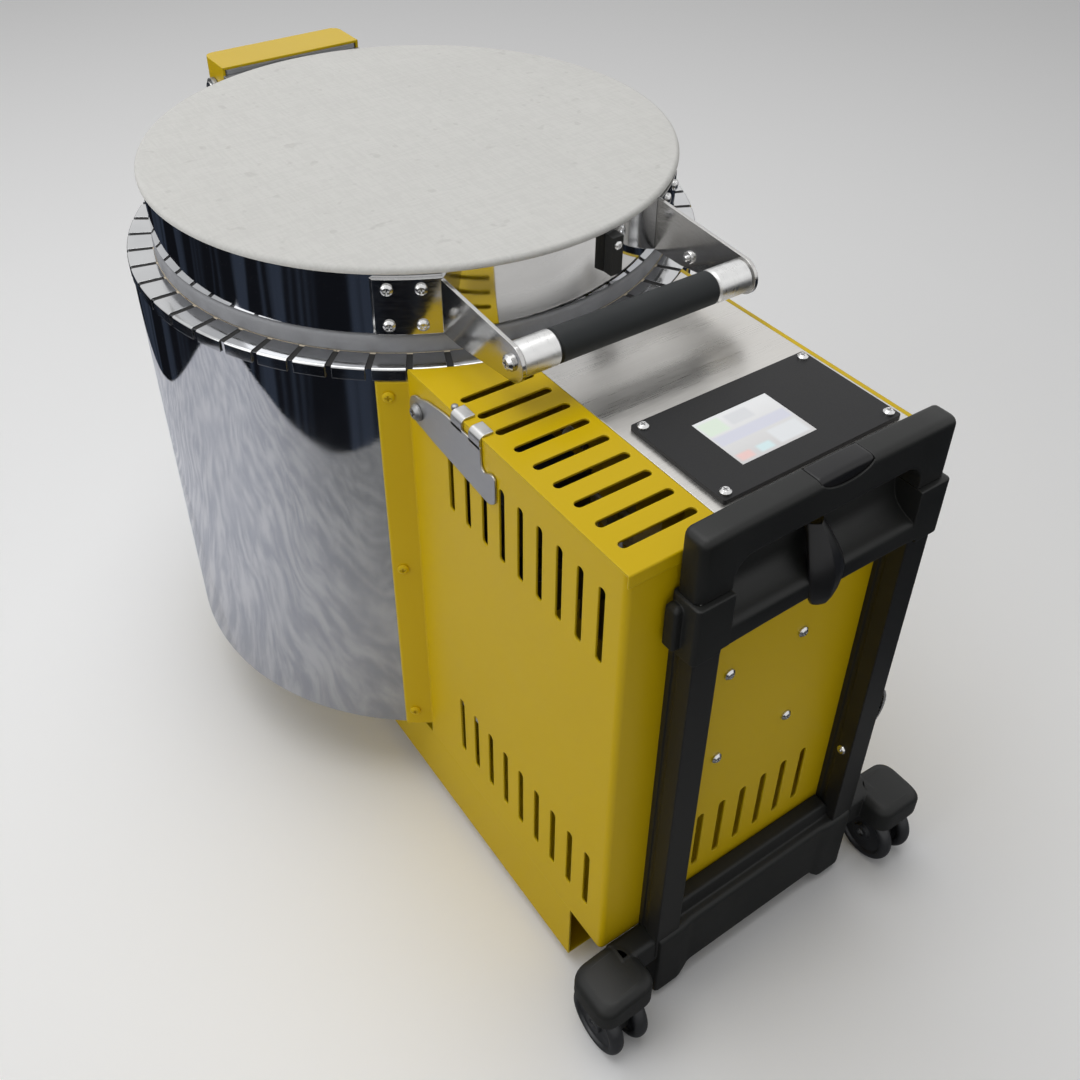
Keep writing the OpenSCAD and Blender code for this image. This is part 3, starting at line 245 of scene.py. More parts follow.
bmesh.ops.translate(cloth_mesh, verts=cloth_mesh.verts, vec=(0, drum_y, cloth_z))


def reflected_sheet(name, mesh_data, finish, colour):
    """Lays a matt sheet on the floor that only reflections show."""
    data = bpy.data.meshes.new(name)
    mesh_data.to_mesh(data)
    mesh_data.free()
    sheet_object = bpy.data.objects.new(name, data)
    bpy.context.collection.objects.link(sheet_object)
    for ray in ("camera", "diffuse", "shadow", "transmission", "volume_scatter"):
        setattr(sheet_object, "visible_" + ray, False)
    data.materials.append(finish.surface(Base_Color=colour, Roughness=1.0, Specular_IOR_Level=0.0))


cloth_paint = Finish("cloth_paint")
cloth_drift = cloth_paint.node(
    "ShaderNodeTexNoise", {}, {"Vector": cloth_paint.place, "Scale": 5.0}, out="Color")
cloth_warp = cloth_paint.vector("MULTIPLY_ADD", cloth_drift, (0.12, 0.12, 0.0), cloth_paint.place)
cloth_slant = cloth_paint.node("ShaderNodeVectorRotate", {"rotation_type": "Z_AXIS"},
                               {"Vector": cloth_warp, "Angle": math.radians(35)})
cloth_long = cloth_paint.vector("MULTIPLY", cloth_slant, (1.0, 4.5, 1.0))
cloth_folds = cloth_paint.noise(13.0, 5.0, 0.62, at=cloth_long)
# The cloth is painted darker towards the front: painted shade.
cloth_shade = cloth_paint.step(cloth_paint.axis("Y") * -1.0 + drum_y, -0.12, 0.42)
cloth_ridges = cloth_paint.step(cloth_folds, 0.38, 0.64)
cloth_in_light = cloth_paint.blend(cloth_ridges, (0.50, 0.515, 0.575), (0.70, 0.705, 0.745))
cloth_in_painted_shade = cloth_paint.blend(cloth_ridges, (0.22, 0.225, 0.235), (0.32, 0.325, 0.33))
reflected_sheet("pale_cloth", cloth_mesh, cloth_paint,
                cloth_paint.blend(cloth_shade, cloth_in_light, cloth_in_painted_shade))
dark_paint = Finish("dark_paint")
dark_away = dark_paint.vector("SUBTRACT", dark_paint.place, (0, drum_y, 0))
dark_spokes = dark_paint.vector("NORMALIZE", dark_away)
dark_patches = dark_paint.noise(7.0, 2.0, at=dark_spokes)
dark_streaks = dark_paint.step(dark_patches, 0.45, 0.62)
reflected_sheet("dark_ground", dark_mesh, dark_paint,
                dark_paint.blend(dark_streaks, (0.008, 0.009, 0.012), (0.036, 0.046, 0.068)))

# The base tray, the switch box and the hinge cover: folded steel with a deep yellow powder coat.
# The coat is semi-gloss, with orange peel, and painted paler along its folds and edges as a painted
# highlight.
yellow = Finish("yellow_coat")
coat_patches = yellow.noise(7.0, 3.0)
coat_peel = yellow.noise(900.0, 1.0)
coat_wave = yellow.noise(26.0, 1.0)
coat_colour = yellow.blend(coat_patches, (0.60, 0.405, 0.0), (0.66, 0.455, 0.0))
# Painted highlight: the coat is painted paler along every edge.
coat_colour = yellow.blend(yellow.edge(0.0018) * 0.5, coat_colour, (0.78, 0.60, 0.03))
yellow_paint = yellow.surface(
    Base_Color=coat_colour, Roughness=yellow.step(coat_patches, 0.3, 0.7, 0.30, 0.38),
    Normal=yellow.bump(coat_wave, 0.12, 0.002,
                       yellow.bump(coat_peel, 0.10, 0.0002, yellow.soft_edge(0.0012))),
    Specular_IOR_Level=0.2, Coat_Weight=0.03, Coat_Roughness=0.15)


def dress(material, *nodes):
    """Gives each named CAD node this material in every slot."""
    for node in nodes:
        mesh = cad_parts[node].data
        if not mesh.materials:
            mesh.materials.append(material)
        for slot in range(len(mesh.materials)):
            mesh.materials[slot] = material


dress(yellow_paint, "base_tray", "box_shell", "box_floor", "top_cover", "flange_rivets", "hinge_cover")

# Two rubber feet under the tray's rear and four porcelain spacers under the drum.
rubber = Finish("foot_rubber")
rubber_grain = rubber.noise(1400.0, 2.0)
foot_rubber = rubber.surface(
    Base_Color=rubber.blend(rubber.noise(60.0), (0.018, 0.018, 0.019), (0.035, 0.035, 0.036)), Roughness=0.8,
    Normal=rubber.bump(rubber_grain, 0.25, 0.0002, rubber.soft_edge(0.0015)))
dress(foot_rubber, "rear_feet")
glaze = Finish("porcelain_glaze")
glaze_specks = glaze.noise(500.0, 2.0)
porcelain = glaze.surface(
    Base_Color=glaze.blend(glaze.step(glaze_specks, 0.6, 0.75), (0.80, 0.78, 0.70), (0.62, 0.57, 0.46)),
    Roughness=0.25, Normal=glaze.soft_edge(0.001), Coat_Weight=0.5, Coat_Roughness=0.08)
dress(porcelain, "drum_spacers", "lead_bushes", "thermocouple")

# Hearth and wall of soft insulating firebrick: pale, porous, with a faint iron speckle.
brick = Finish("firebrick")
brick_pores = brick.node("ShaderNodeTexVoronoi", {}, {"Vector": brick.place, "Scale": 420.0}, out="Distance")
brick_colour = brick.blend(brick.noise(18.0, 4.0), (0.72, 0.62, 0.46), (0.84, 0.76, 0.61))
brick_colour = brick.blend(brick.step(brick.noise(260.0, 2.0), 0.62, 0.72), brick_colour, (0.50, 0.36, 0.22))
firebrick = brick.surface(Base_Color=brick_colour, Roughness=0.95,
                          Normal=brick.bump(brick_pores, 0.5, 0.0006, brick.soft_edge(0.0012)))
dress(firebrick, "hearth_slab", "wall_bricks")

# The drum's jacket: one mirror-finished stainless sheet, lapped and riveted at the rear right.
# Thin sheet is never quite flat, so its reflections waver a little.
mirror = Finish("mirror_stainless")
sheet_wave = mirror.noise(9.0, 2.0, at=mirror.stretched(1.0, 1.0, 0.45))
polish_lines = mirror.noise(40.0, 3.0, at=mirror.stretched(1.0, 1.0, 40.0))
smears = mirror.noise(14.0, 4.0)
mirror_steel = mirror.surface(
    Base_Color=mirror.blend(smears, (0.66, 0.67, 0.69), (0.76, 0.765, 0.78)),
    Metallic=1.0,
    Roughness=mirror.step(smears * 0.7 + polish_lines * 0.3, 0.35, 0.7, 0.025, 0.085),
    Normal=mirror.bump(sheet_wave, 0.3, 0.005, mirror.bump(polish_lines, 0.02, 0.0002)))


def piece(name, mesh_data, body, material, node=None, smooth=True):
    """Makes an object of a bmesh, rides it on its body and lets it stand for a CAD node."""
    data = bpy.data.meshes.new(name)
    bmesh.ops.recalc_face_normals(mesh_data, faces=mesh_data.faces)
    mesh_data.to_mesh(data)
    mesh_data.free()
    thing = bpy.data.objects.new(name, data)
    bpy.context.collection.objects.link(thing)
    data.materials.append(material)
    if smooth:
        data.shade_smooth()
        data.set_sharp_from_angle(angle=math.radians(35))
    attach(thing, body)
    if node:
        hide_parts(*([node] if isinstance(node, str) else node))
    return thing


def lathe(profile, centre, axis="Z", steps=192, start=0.0, sweep=360.0):
    """Turns a closed outline of (radius, height) points about an axis through centre."""
    body = bmesh.new()
    whole = sweep >= 360
    rings = []
    for step in range(steps if whole else steps + 1):
        angle = math.radians(start + sweep * step / steps)
        ring = []
        for radius, height in profile:
            across, up = radius * math.cos(angle), radius * math.sin(angle)
            local = {"Z": (across, up, height), "X": (height, across, up), "Y": (across, height, up)}[axis]
            ring.append(body.verts.new(Vector(centre) + Vector(local)))
        rings.append(ring)
    count = len(profile)
    for step in range(len(rings) if whole else len(rings) - 1):
        a, b = rings[step], rings[(step + 1) % len(rings)]
        for k in range(count):
            body.faces.new((a[k], a[(k + 1) % count], b[(k + 1) % count], b[k]))
    if not whole:
        body.faces.new(rings[0])
        body.faces.new(list(reversed(rings[-1])))
    bmesh.ops.remove_doubles(body, verts=body.verts, dist=1e-6)
    return body


jacket_r = (jacket_high[0] - jacket_low[0]) / 2
jacket_z0, jacket_z1 = jacket_low[2], jacket_high[2]
sheet = 0.001
jacket_outline = [(jacket_r - sheet, jacket_z0 + 0.001), (jacket_r - 0.0004, jacket_z0),
                  (jacket_r, jacket_z0 + 0.0012), (jacket_r, jacket_z1), (jacket_r - sheet, jacket_z1)]
piece("jacket_sheet", lathe(jacket_outline, (0, drum_y, 0), steps=288), "kiln", mirror_steel,
      "jacket")
lap_angle, lap_sweep = 48.0, 9.0
lap_gauge, lap_foot_gap, lap_head_gap = 0.0006, 0.002, 0.01
lap_r = jacket_r + lap_gauge
lap_z0, lap_z1 = jacket_z0 + lap_foot_gap, jacket_z1 - lap_head_gap
lap_outline = [(jacket_r, lap_z0), (lap_r, lap_z0), (lap_r, lap_z1), (jacket_r, lap_z1)]
piece("jacket_lap", lathe(lap_outline, (0, drum_y, 0), steps=12, start=lap_angle, sweep=lap_sweep),
      "kiln", mirror_steel)


def dome(radius, height, steps=6):
    """Outline of a low round rivet or screw head, standing on height 0."""
    points = [(0.0, 0.0), (radius, 0.0), (radius, height * 0.3)]
    for step in range(1, steps + 1):
        angle = math.pi / 2 * step / steps
        points.append((radius * math.cos(angle), height * (0.3 + 0.7 * math.sin(angle))))
    return points


def standing(mesh_data, place, outward):
    """Turns a shape that is drawn on +Z so that it points outward from a place."""
    turn_to = Vector(outward).to_track_quat("Z", "Y").to_matrix().to_4x4()
    bmesh.ops.transform(mesh_data, matrix=Matrix.Translation(place) @ turn_to, verts=mesh_data.verts)
    return mesh_data


def add(whole, part):
    """Adds one bmesh to another."""
    data = bpy.data.meshes.new("part")
    part.to_mesh(data)
    part.free()
    whole.from_mesh(data)
    bpy.data.meshes.remove(data)


def joined(parts):
    """Joins several bmeshes into one."""
    whole = bmesh.new()
    for part in parts:
        add(whole, part)
    return whole


rivet_count, rivet_r, rivet_rise = 6, 0.003, 0.0012
first_rivet, last_rivet = jacket_z0 + 0.03, jacket_z1 - 0.04
lap_rivets = []
lap_mid = math.radians(lap_angle + lap_sweep / 2)
out = Vector((math.cos(lap_mid), math.sin(lap_mid), 0))
for step in range(rivet_count):
    height = first_rivet + step * (last_rivet - first_rivet) / (rivet_count - 1)
    lap_rivets.append(standing(lathe(dome(rivet_r, rivet_rise), (0, 0, 0), steps=20),
                               Vector((0, drum_y, height)) + out * lap_r, out))
piece("jacket_lap_rivets", joined(lap_rivets), "kiln", mirror_steel)

# The cap ring: the stainless sheet's top edge, slit and bent in over the bricks as 52 tabs.
# Each tab ends up a little higher or lower than the next.
ring_low, ring_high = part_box("tab_ring")
tab_count = 52
slit = 0.0044
tab_outer = (ring_high[0] - ring_low[0]) / 2
tab_reach, tab_droop = 0.019, 0.0004
tab_inner = tab_outer - tab_reach
tab_top = ring_high[2]
tab_gauge = 0.0008
bend = 0.0016
skirt_z = ring_low[2]
tab_arc = [(tab_outer - bend + bend * math.sin(a), tab_top - bend + bend * math.cos(a))
           for a in (math.radians(k * 18) for k in range(6))]
tab_path = [(tab_inner, tab_top - tab_droop)] + tab_arc + [(tab_outer, skirt_z)]
tab_under = [(r - tab_gauge * (1 if r > tab_outer - bend else 0), z - tab_gauge) for r, z in tab_path[:-1]]
tab_under.append((tab_outer - tab_gauge, skirt_z))
tab_outline = tab_path + tab_under[::-1]
tilt_limit = 0.016
random.seed(52)
# The tabs get a darker copy of the jacket's stainless: painted shade under the lid's edge.
cap = Finish("cap_stainless_painted_shade")
cap_smears = cap.noise(30.0, 3.0)
cap_steel_painted_shade = cap.surface(Base_Color=cap.blend(cap_smears, (0.46, 0.465, 0.475), (0.60, 0.605, 0.61)),
                        Metallic=1.0, Roughness=cap.step(cap_smears, 0.3, 0.7, 0.08, 0.2),
                        Normal=cap.soft_edge(0.0004))
tabs = []
for step in range(tab_count):
    middle = 360 * (step + 1) / tab_count
    half = math.degrees((math.pi * tab_outer * 2 / tab_count - slit) / 2 / tab_outer)
    lean = random.uniform(-tilt_limit, 0.0)
    leaned = [(r, z + (tab_outer - r) * lean if r < tab_outer - bend else z) for r, z in tab_outline]
    tabs.append(lathe(leaned, (0, drum_y, 0), steps=5, start=middle - half, sweep=2 * half))
piece("cap_tabs", joined(tabs), "kiln", cap_steel_painted_shade, "tab_ring")

# A dark ring under the tabs, on the top of the brick ring: painted shade in the gap.
shade_ring_finish = Finish("painted_gap_shade")
# Painted shade: near-black colour where the gap under the tabs lies in shade.
painted_gap_shade = shade_ring_finish.surface(
    Base_Color=shade_ring_finish.blend(shade_ring_finish.noise(90.0), (0.012, 0.012, 0.013), (0.03, 0.029, 0.028)), Roughness=0.9)
shade_ring_inner, shade_ring_outer = tab_inner + 0.0008, tab_outer - 0.0012
shade_ring_low, shade_ring_high = jacket_z1 + 0.00005, jacket_z1 + 0.0001
backing = [(shade_ring_inner, shade_ring_low), (shade_ring_outer, shade_ring_low), (shade_ring_outer, shade_ring_high), (shade_ring_inner, shade_ring_high)]
piece("tab_shadow_ring", lathe(backing, (0, drum_y, 0), steps=96), "kiln", painted_gap_shade)

# The rim: pale grey ceramic-fibre rope and board on which the lid rests, soft and a little lumpy. Its fibre
# is painted a darker grey than its own, as painted shade from the lid above.
rim_low, rim_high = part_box("rim_gasket")
rim_r = (rim_high[0] - rim_low[0]) / 2
chamber_r = 0.150
rim_round = 0.004
fibre = Finish("rim_fibre_painted_shade")
fibre_lumps = fibre.noise(70.0, 4.0)
fibre_fuzz = fibre.noise(900.0, 3.0)
# Painted shade: the fibre's base colour is darkened for the lid's shade on the rim.
rim_fibre_in_painted_shade = fibre.surface(
    Base_Color=fibre.blend(fibre_lumps, (0.27, 0.275, 0.29), (0.40, 0.405, 0.425)),
    Roughness=0.95, Normal=fibre.bump(fibre_lumps, 0.35, 0.0012, fibre.bump(fibre_fuzz, 0.4, 0.0003)))
rim_outline = [(chamber_r, rim_low[2]), (rim_r - 0.001, rim_low[2]), (rim_r, rim_low[2] + 0.002)]
for step in range(6):
    angle = math.pi / 2 * step / 5
    rim_outline.append((rim_r - rim_round + rim_round * math.cos(angle),
                        rim_high[2] - rim_round + rim_round * math.sin(angle)))
rim_outline.append((chamber_r, rim_high[2]))
piece("rim", lathe(rim_outline, (0, drum_y, 0)), "kiln", rim_fibre_in_painted_shade, "rim_gasket")

# Inside the drum: dark oxidised heating wire, wound as a coil and laid in the brick grooves.
wire = Finish("heating_wire")
element_wire = wire.surface(Base_Color=wire.blend(wire.noise(300.0), (0.09, 0.08, 0.075), (0.16, 0.13, 0.11)),
                            Metallic=0.6, Roughness=0.6)
dress(element_wire, "heating_elements")

# The drum's bottom pan, the heat shield, the control panel and other plain stainless sheet.
brushed = Finish("brushed_stainless")
brush_lines = brushed.noise(30.0, 4.0, 0.7, at=brushed.stretched(1.0, 60.0, 60.0))
brush_wide = brushed.noise(9.0, 2.0, at=brushed.stretched(0.4, 6.0, 6.0))
brushed_steel = brushed.surface(
    Base_Color=brushed.blend(brush_lines, (0.50, 0.485, 0.46), (0.66, 0.645, 0.62)), Metallic=1.0,
    Roughness=brushed.step(brush_lines * 0.6 + brush_wide * 0.4, 0.3, 0.7, 0.24, 0.4),
    Normal=brushed.bump(brush_lines, 0.10, 0.0002, brushed.soft_edge(0.0006)))
dress(brushed_steel, "control_panel")
rolled = Finish("rolled_stainless")
rolled_grain = rolled.noise(120.0, 4.0, 0.7, at=rolled.stretched(1.0, 1.0, 8.0))
rolled_steel = rolled.surface(
    Base_Color=rolled.blend(rolled_grain, (0.46, 0.455, 0.445), (0.56, 0.555, 0.545)), Metallic=1.0,
    Roughness=rolled.step(rolled_grain, 0.3, 0.7, 0.10, 0.20),
    Normal=rolled.bump(rolled_grain, 0.08, 0.0002, rolled.soft_edge(0.0006)))
dress(rolled_steel, "handle_arm_left", "handle_arm_right")
satin = Finish("satin_stainless")
satin_grain = satin.noise(160.0, 4.0, 0.7, at=satin.stretched(1.0, 1.0, 7.0))
satin_scuffs = satin.noise(46.0, 4.0)
satin_steel = satin.surface(
    Base_Color=satin.blend(satin_scuffs, (0.44, 0.44, 0.44), (0.58, 0.58, 0.575)), Metallic=1.0,
    Roughness=satin.step(satin_grain * 0.5 + satin_scuffs * 0.5, 0.3, 0.7, 0.3, 0.46),
    Normal=satin.bump(satin_grain, 0.12, 0.0002, satin.soft_edge(0.0006)))
dress(satin_steel, "bottom_pan")
dress(mirror_steel, "heat_shield")
grey = Finish("grey_steel")
grey_grain = grey.noise(220.0, 3.0)
grey_steel = grey.surface(
    Base_Color=grey.blend(grey_grain, (0.24, 0.245, 0.25), (0.34, 0.345, 0.35)), Metallic=0.9, Roughness=0.42,
    Normal=grey.bump(grey_grain, 0.1, 0.0003, grey.soft_edge(0.0012)))
dress(grey_steel, "hinge_bracket", "hinge_springs", "hinge_saddle", "lever_bolt")
zinc = Finish("bright_zinc")
zinc_grain = zinc.noise(500.0, 2.0)
bright_zinc = zinc.surface(
    Base_Color=zinc.blend(zinc_grain, (0.55, 0.55, 0.55), (0.72, 0.72, 0.72)), Metallic=1.0,
    Roughness=zinc.step(zinc_grain, 0.3, 0.7, 0.16, 0.3), Normal=zinc.soft_edge(0.0004))
dress(bright_zinc, "faceplate_screws", "front_screws", "cord_hook", "hinge_rod", "lid_screws",
      "caster_axle_left", "caster_axle_right")

# The lid's hinge bar: a flat bar of grey steel on the lid, seen in the cover's open front.
# It is satin, with draw lines along its length.
cover_low, cover_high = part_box("hinge_cover")
bar_inset, bar_back, bar_thick, bar_top_gap, bar_rise = 0.003, 0.0005, 0.004, 0.0023, 0.0215
cover_x = (cover_low[0] + cover_high[0]) / 2
bar_half_x = (cover_high[0] - cover_low[0]) / 2 - bar_inset
bar_mesh = bmesh.new()
bmesh.ops.create_cube(bar_mesh, size=1.0)
for vert in bar_mesh.verts:
    vert.co = (cover_x + 2 * vert.co.x * bar_half_x,
               cover_low[1] + bar_back + bar_thick * (vert.co.y + 0.5),
               cover_high[2] - bar_top_gap - bar_rise * (0.5 - vert.co.z))
bmesh.ops.bevel(bar_mesh, geom=list(bar_mesh.edges), offset=0.0006, segments=2, affect="EDGES")
draw = Finish("drawn_grey_bar")
draw_lines = draw.noise(60.0, 4.0, 0.7, at=draw.stretched(0.6, 8.0, 8.0))
drawn_grey = draw.surface(
    Base_Color=draw.blend(draw_lines, (0.34, 0.345, 0.36), (0.50, 0.505, 0.52)), Metallic=0.8,
    Roughness=draw.step(draw_lines, 0.3, 0.7, 0.32, 0.45),
    Normal=draw.bump(draw_lines, 0.15, 0.0002, draw.soft_edge(0.0006)))
piece("hinge_bar", bar_mesh, "lid", drawn_grey, smooth=False)

# The faceplate: a matt black plate with a soft sheen, and in it a lit touch screen.
black = Finish("black_faceplate")
black_grain = black.noise(1600.0, 2.0)
face_black = black.surface(
    Base_Color=black.blend(black.noise(30.0), (0.006, 0.006, 0.007), (0.009, 0.009, 0.0095)),
    Roughness=black.step(black_grain, 0.3, 0.7, 0.42, 0.52), Specular_IOR_Level=0.28,
    Normal=black.bump(black_grain, 0.1, 0.0001, black.soft_edge(0.0005)))
dress(face_black, "faceplate")
screen_low, screen_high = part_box("touch_screen")
glow = Finish("lit_screen")
across = (glow.axis("X") - screen_low[0]) * (1 / (screen_high[0] - screen_low[0]))
along = (glow.axis("Y") - screen_low[1]) * (1 / (screen_high[1] - screen_low[1]))


def field(left, right, low, high):
    """A soft-edged rectangle on the screen, in shares of its width and depth."""
    fade = 0.03
    sides = glow.step(across, left - fade, left + fade) * (
        1.0 - glow.step(across, right - fade, right + fade))
    ends = glow.step(along, low - fade, low + fade) * (1.0 - glow.step(along, high - fade, high + fade))
    return sides * ends


screen_colour = glow.blend(along, (0.60, 0.59, 0.59), (0.78, 0.79, 0.80))
for mask, colour in ((field(0.03, 0.97, 0.42, 0.62), (0.62, 0.63, 0.72)),
                     (field(0.03, 0.30, 0.66, 0.95), (0.68, 0.78, 0.66)),
                     (field(0.36, 0.66, 0.70, 0.92), (0.66, 0.67, 0.69)),
                     (field(0.04, 0.22, 0.06, 0.2), (0.80, 0.55, 0.52)),
                     (field(0.30, 0.48, 0.06, 0.2), (0.62, 0.78, 0.80)),
                     (field(0.56, 0.95, 0.06, 0.36), (0.72, 0.74, 0.76))):
    screen_colour = glow.blend(mask, screen_colour, colour)
lit_screen = glow.surface(
    Base_Color=screen_colour, Roughness=0.12, Emission_Color=screen_colour, Emission_Strength=0.14,
    Coat_Weight=0.6, Coat_Roughness=0.03)
dress(lit_screen, "touch_screen")

# What the box holds: the controller board, four relays, a transformer and a terminal strip.
board = Finish("circuit_board_green")
board_lines = board.node(
    "ShaderNodeTexBrick", {},
    {"Vector": board.place, "Scale": 90.0, "Color1": (0.02, 0.13, 0.06, 1), "Color2": (0.03, 0.17, 0.08, 1),
     "Mortar": (0.25, 0.22, 0.08, 1), "Mortar Size": 0.02})
board_green = board.surface(Base_Color=board_lines, Roughness=0.35, Coat_Weight=0.4)
dress(board_green, "circuit_board")
case = Finish("relay_case")
case_black = case.surface(
    Base_Color=case.blend(case.noise(50.0), (0.02, 0.02, 0.025), (0.04, 0.04, 0.05)), Roughness=0.35,
    Normal=case.soft_edge(0.001))
dress(case_black, "relays")
core = Finish("laminated_core")
core_lines = core.noise(30.0, 1.0, at=core.stretched(1.0, 1.0, 60.0))
core_steel = core.surface(
    Base_Color=core.blend(core_lines, (0.08, 0.08, 0.085), (0.20, 0.20, 0.20)), Metallic=0.5,
    Roughness=0.5, Normal=core.bump(core_lines, 0.3, 0.0005))
dress(core_steel, "transformer")
strip = Finish("terminal_strip")
strip_white = strip.surface(
    Base_Color=strip.blend(strip.noise(40.0), (0.70, 0.70, 0.66), (0.80, 0.80, 0.76)), Roughness=0.4,
    Normal=strip.soft_edge(0.0008))
dress(strip_white, "terminal_block")

# The lid: off-white fibre board in a mirror-finished band, its crown rounded over the band.
# The board is faintly woven and mottled, with a few small pits.
band_low, band_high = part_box("lid_band")
crown_low, crown_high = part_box("lid_board")
band_r = (band_high[0] - band_low[0]) / 2
crown_r = (crown_high[0] - crown_low[0]) / 2
paper = Finish("lid_board")
paper_mottle = paper.noise(11.0, 5.0, 0.65)
paper_grain = paper.noise(420.0, 3.0)
paper_weave = (paper.noise(1.0, 2.0, at=paper.stretched(60.0, 620.0, 60.0)) * 0.5
               + paper.noise(1.0, 2.0, at=paper.stretched(620.0, 60.0, 60.0)) * 0.5)
paper_pits = paper.step(paper.noise(90.0, 1.0), 0.25, 0.32, 1.0, 0.0)
paper_colour = paper.blend(paper_mottle, (0.61, 0.605, 0.58), (0.68, 0.675, 0.65))
paper_colour = paper.blend(paper.step(paper_weave, 0.40, 0.60) * 0.35, paper_colour, (0.54, 0.535, 0.515))
paper_colour = paper.blend(paper.step(paper_grain, 0.35, 0.75) * 0.2, paper_colour, (0.68, 0.68, 0.66))
paper_colour = paper.blend(paper_pits * 0.2, paper_colour, (0.36, 0.35, 0.33))
board_white = paper.surface(
    Base_Color=paper_colour, Roughness=0.9, Specular_IOR_Level=0.25,
    Normal=paper.bump(paper_weave, 0.45, 0.0005, paper.bump(paper_grain, 0.35, 0.0004,
                                                          paper.bump(paper_pits, -0.3, 0.0004))))
crown_round = 0.0035
crown_foot = band_high[2] + 0.0001
crown_outline = [(0.0, band_low[2]), (band_r - 0.001, band_low[2]), (band_r - 0.001, crown_foot),
                 (crown_r - 0.001, crown_foot), (crown_r, crown_foot + 0.001)]
for step in range(8):
    angle = math.pi / 2 * step / 7
    crown_outline.append((crown_r - crown_round + crown_round * math.cos(angle),
                          crown_high[2] - crown_round + crown_round * math.sin(angle)))
crown_outline += [(crown_r * share, crown_high[2]) for share in (0.8, 0.5, 0.2)] + [(0.0, crown_high[2])]
piece("lid_crown", lathe(crown_outline, (0, drum_y, 0), steps=240), "lid", board_white,
      "lid_board")
band_outline = [(band_r - 0.0008, band_low[2]), (band_r - 0.0003, band_low[2]),
                (band_r, band_low[2] + 0.0004), (band_r, band_high[2]), (band_r - 0.0008, band_high[2])]
piece("lid_band_sheet", lathe(band_outline, (0, drum_y, 0), steps=288), "lid", mirror_steel,
      "lid_band")

# The lid's handle: a black rubber sleeve on an aluminium tube, with a turned collar at each end.
grip_low, grip_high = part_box("handle_grip")
tube_low, tube_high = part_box("handle_tube")
grip_y = (grip_low[1] + grip_high[1]) / 2
grip_z = (grip_low[2] + grip_high[2]) / 2
grip_r = (grip_high[2] - grip_low[2]) / 2
sleeve = Finish("grip_sleeve")
sleeve_grain = sleeve.noise(700.0, 3.0)
sleeve_rub = sleeve.noise(24.0, 3.0)
sleeve_black = sleeve.surface(
    Base_Color=sleeve.blend(sleeve_rub, (0.007, 0.0085, 0.0095), (0.014, 0.0165, 0.0175)),
    Specular_IOR_Level=0.3, Roughness=sleeve.step(sleeve_rub, 0.3, 0.7, 0.5, 0.65),
    Normal=sleeve.bump(sleeve_grain, 0.25, 0.0002))
edge = 0.0014
sleeve_outline = [(grip_r - 0.0025, grip_low[0]), (grip_r - edge, grip_low[0]), (grip_r, grip_low[0] + edge),
                  (grip_r, grip_high[0] - edge), (grip_r - edge, grip_high[0]),
                  (grip_r - 0.0025, grip_high[0])]
piece("grip_sleeve", lathe(sleeve_outline, (0, grip_y, grip_z), "X", steps=64), "lid",
      sleeve_black, "handle_grip")
alloy = Finish("turned_alloy")
alloy_rings = alloy.noise(1.0, 2.0, at=alloy.stretched(2600.0, 8.0, 8.0))
alloy_knocks = alloy.noise(120.0, 4.0)
turned_alloy = alloy.surface(
    Base_Color=alloy.blend(alloy_knocks, (0.58, 0.58, 0.575), (0.74, 0.74, 0.735)), Metallic=1.0,
    Roughness=alloy.step(alloy_rings * 0.5 + alloy_knocks * 0.5, 0.3, 0.7, 0.24, 0.42),
    Normal=alloy.bump(alloy_rings, 0.2, 0.0003, alloy.bump(alloy_knocks, 0.12, 0.0004)))
collar_r = grip_r + 0.0002
collars = []
for low, high in ((tube_low[0], grip_low[0]), (grip_high[0], tube_high[0])):
    collar = [(0.004, low), (collar_r - edge, low), (collar_r, low + edge), (collar_r, high - edge),
              (collar_r - edge, high), (0.004, high)]
    collars.append(lathe(collar, (0, grip_y, grip_z), "X", steps=64))
inner_tube = [(0.004, grip_low[0]), (grip_r - 0.0026, grip_low[0]), (grip_r - 0.0026, grip_high[0]),
              (0.004, grip_high[0])]
collars.append(lathe(inner_tube, (0, grip_y, grip_z), "X", steps=48))
piece("handle_collars", joined(collars), "lid", turned_alloy, "handle_tube")

# Black powder-coated rails, 20 mm square tube, and the bright drawn tubes that slide inside them.
# A pan-head screw in each rail's inner side holds it to the crossbar.
tube_coat = Finish("black_tube_coat")
tube_grain = tube_coat.noise(900.0, 2.0)
black_tube = tube_coat.surface(
    Base_Color=tube_coat.blend(tube_coat.noise(16.0), (0.009, 0.009, 0.009), (0.015, 0.015, 0.014)),
    Specular_IOR_Level=0.35, Roughness=0.42,
    Normal=tube_coat.bump(tube_grain, 0.1, 0.0002, tube_coat.soft_edge(0.0018)))
dress(black_tube, "rail_left", "rail_right")
drawn = Finish("drawn_alloy")
drawn_lines = drawn.noise(1.0, 2.0, at=drawn.stretched(1400.0, 1400.0, 5.0))
drawn_alloy = drawn.surface(
    Base_Color=drawn.blend(drawn_lines, (0.42, 0.43, 0.44), (0.52, 0.53, 0.54)), Metallic=1.0, Roughness=0.35,
    Normal=drawn.bump(drawn_lines, 0.1, 0.0002, drawn.soft_edge(0.001)))
dress(drawn_alloy, "middle_tubes")
rail_low, rail_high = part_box("rail_right")
left_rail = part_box("rail_left")
rail_width = rail_high[0] - rail_low[0]
rail_mid_y = (rail_low[1] + rail_high[1]) / 2
trolley_x = (left_rail[0][0] + rail_high[0]) / 2
rail_reach = (rail_high[0] - left_rail[0][0] - rail_width) / 2
screw_height = 0.152
rail_screws = bmesh.new()
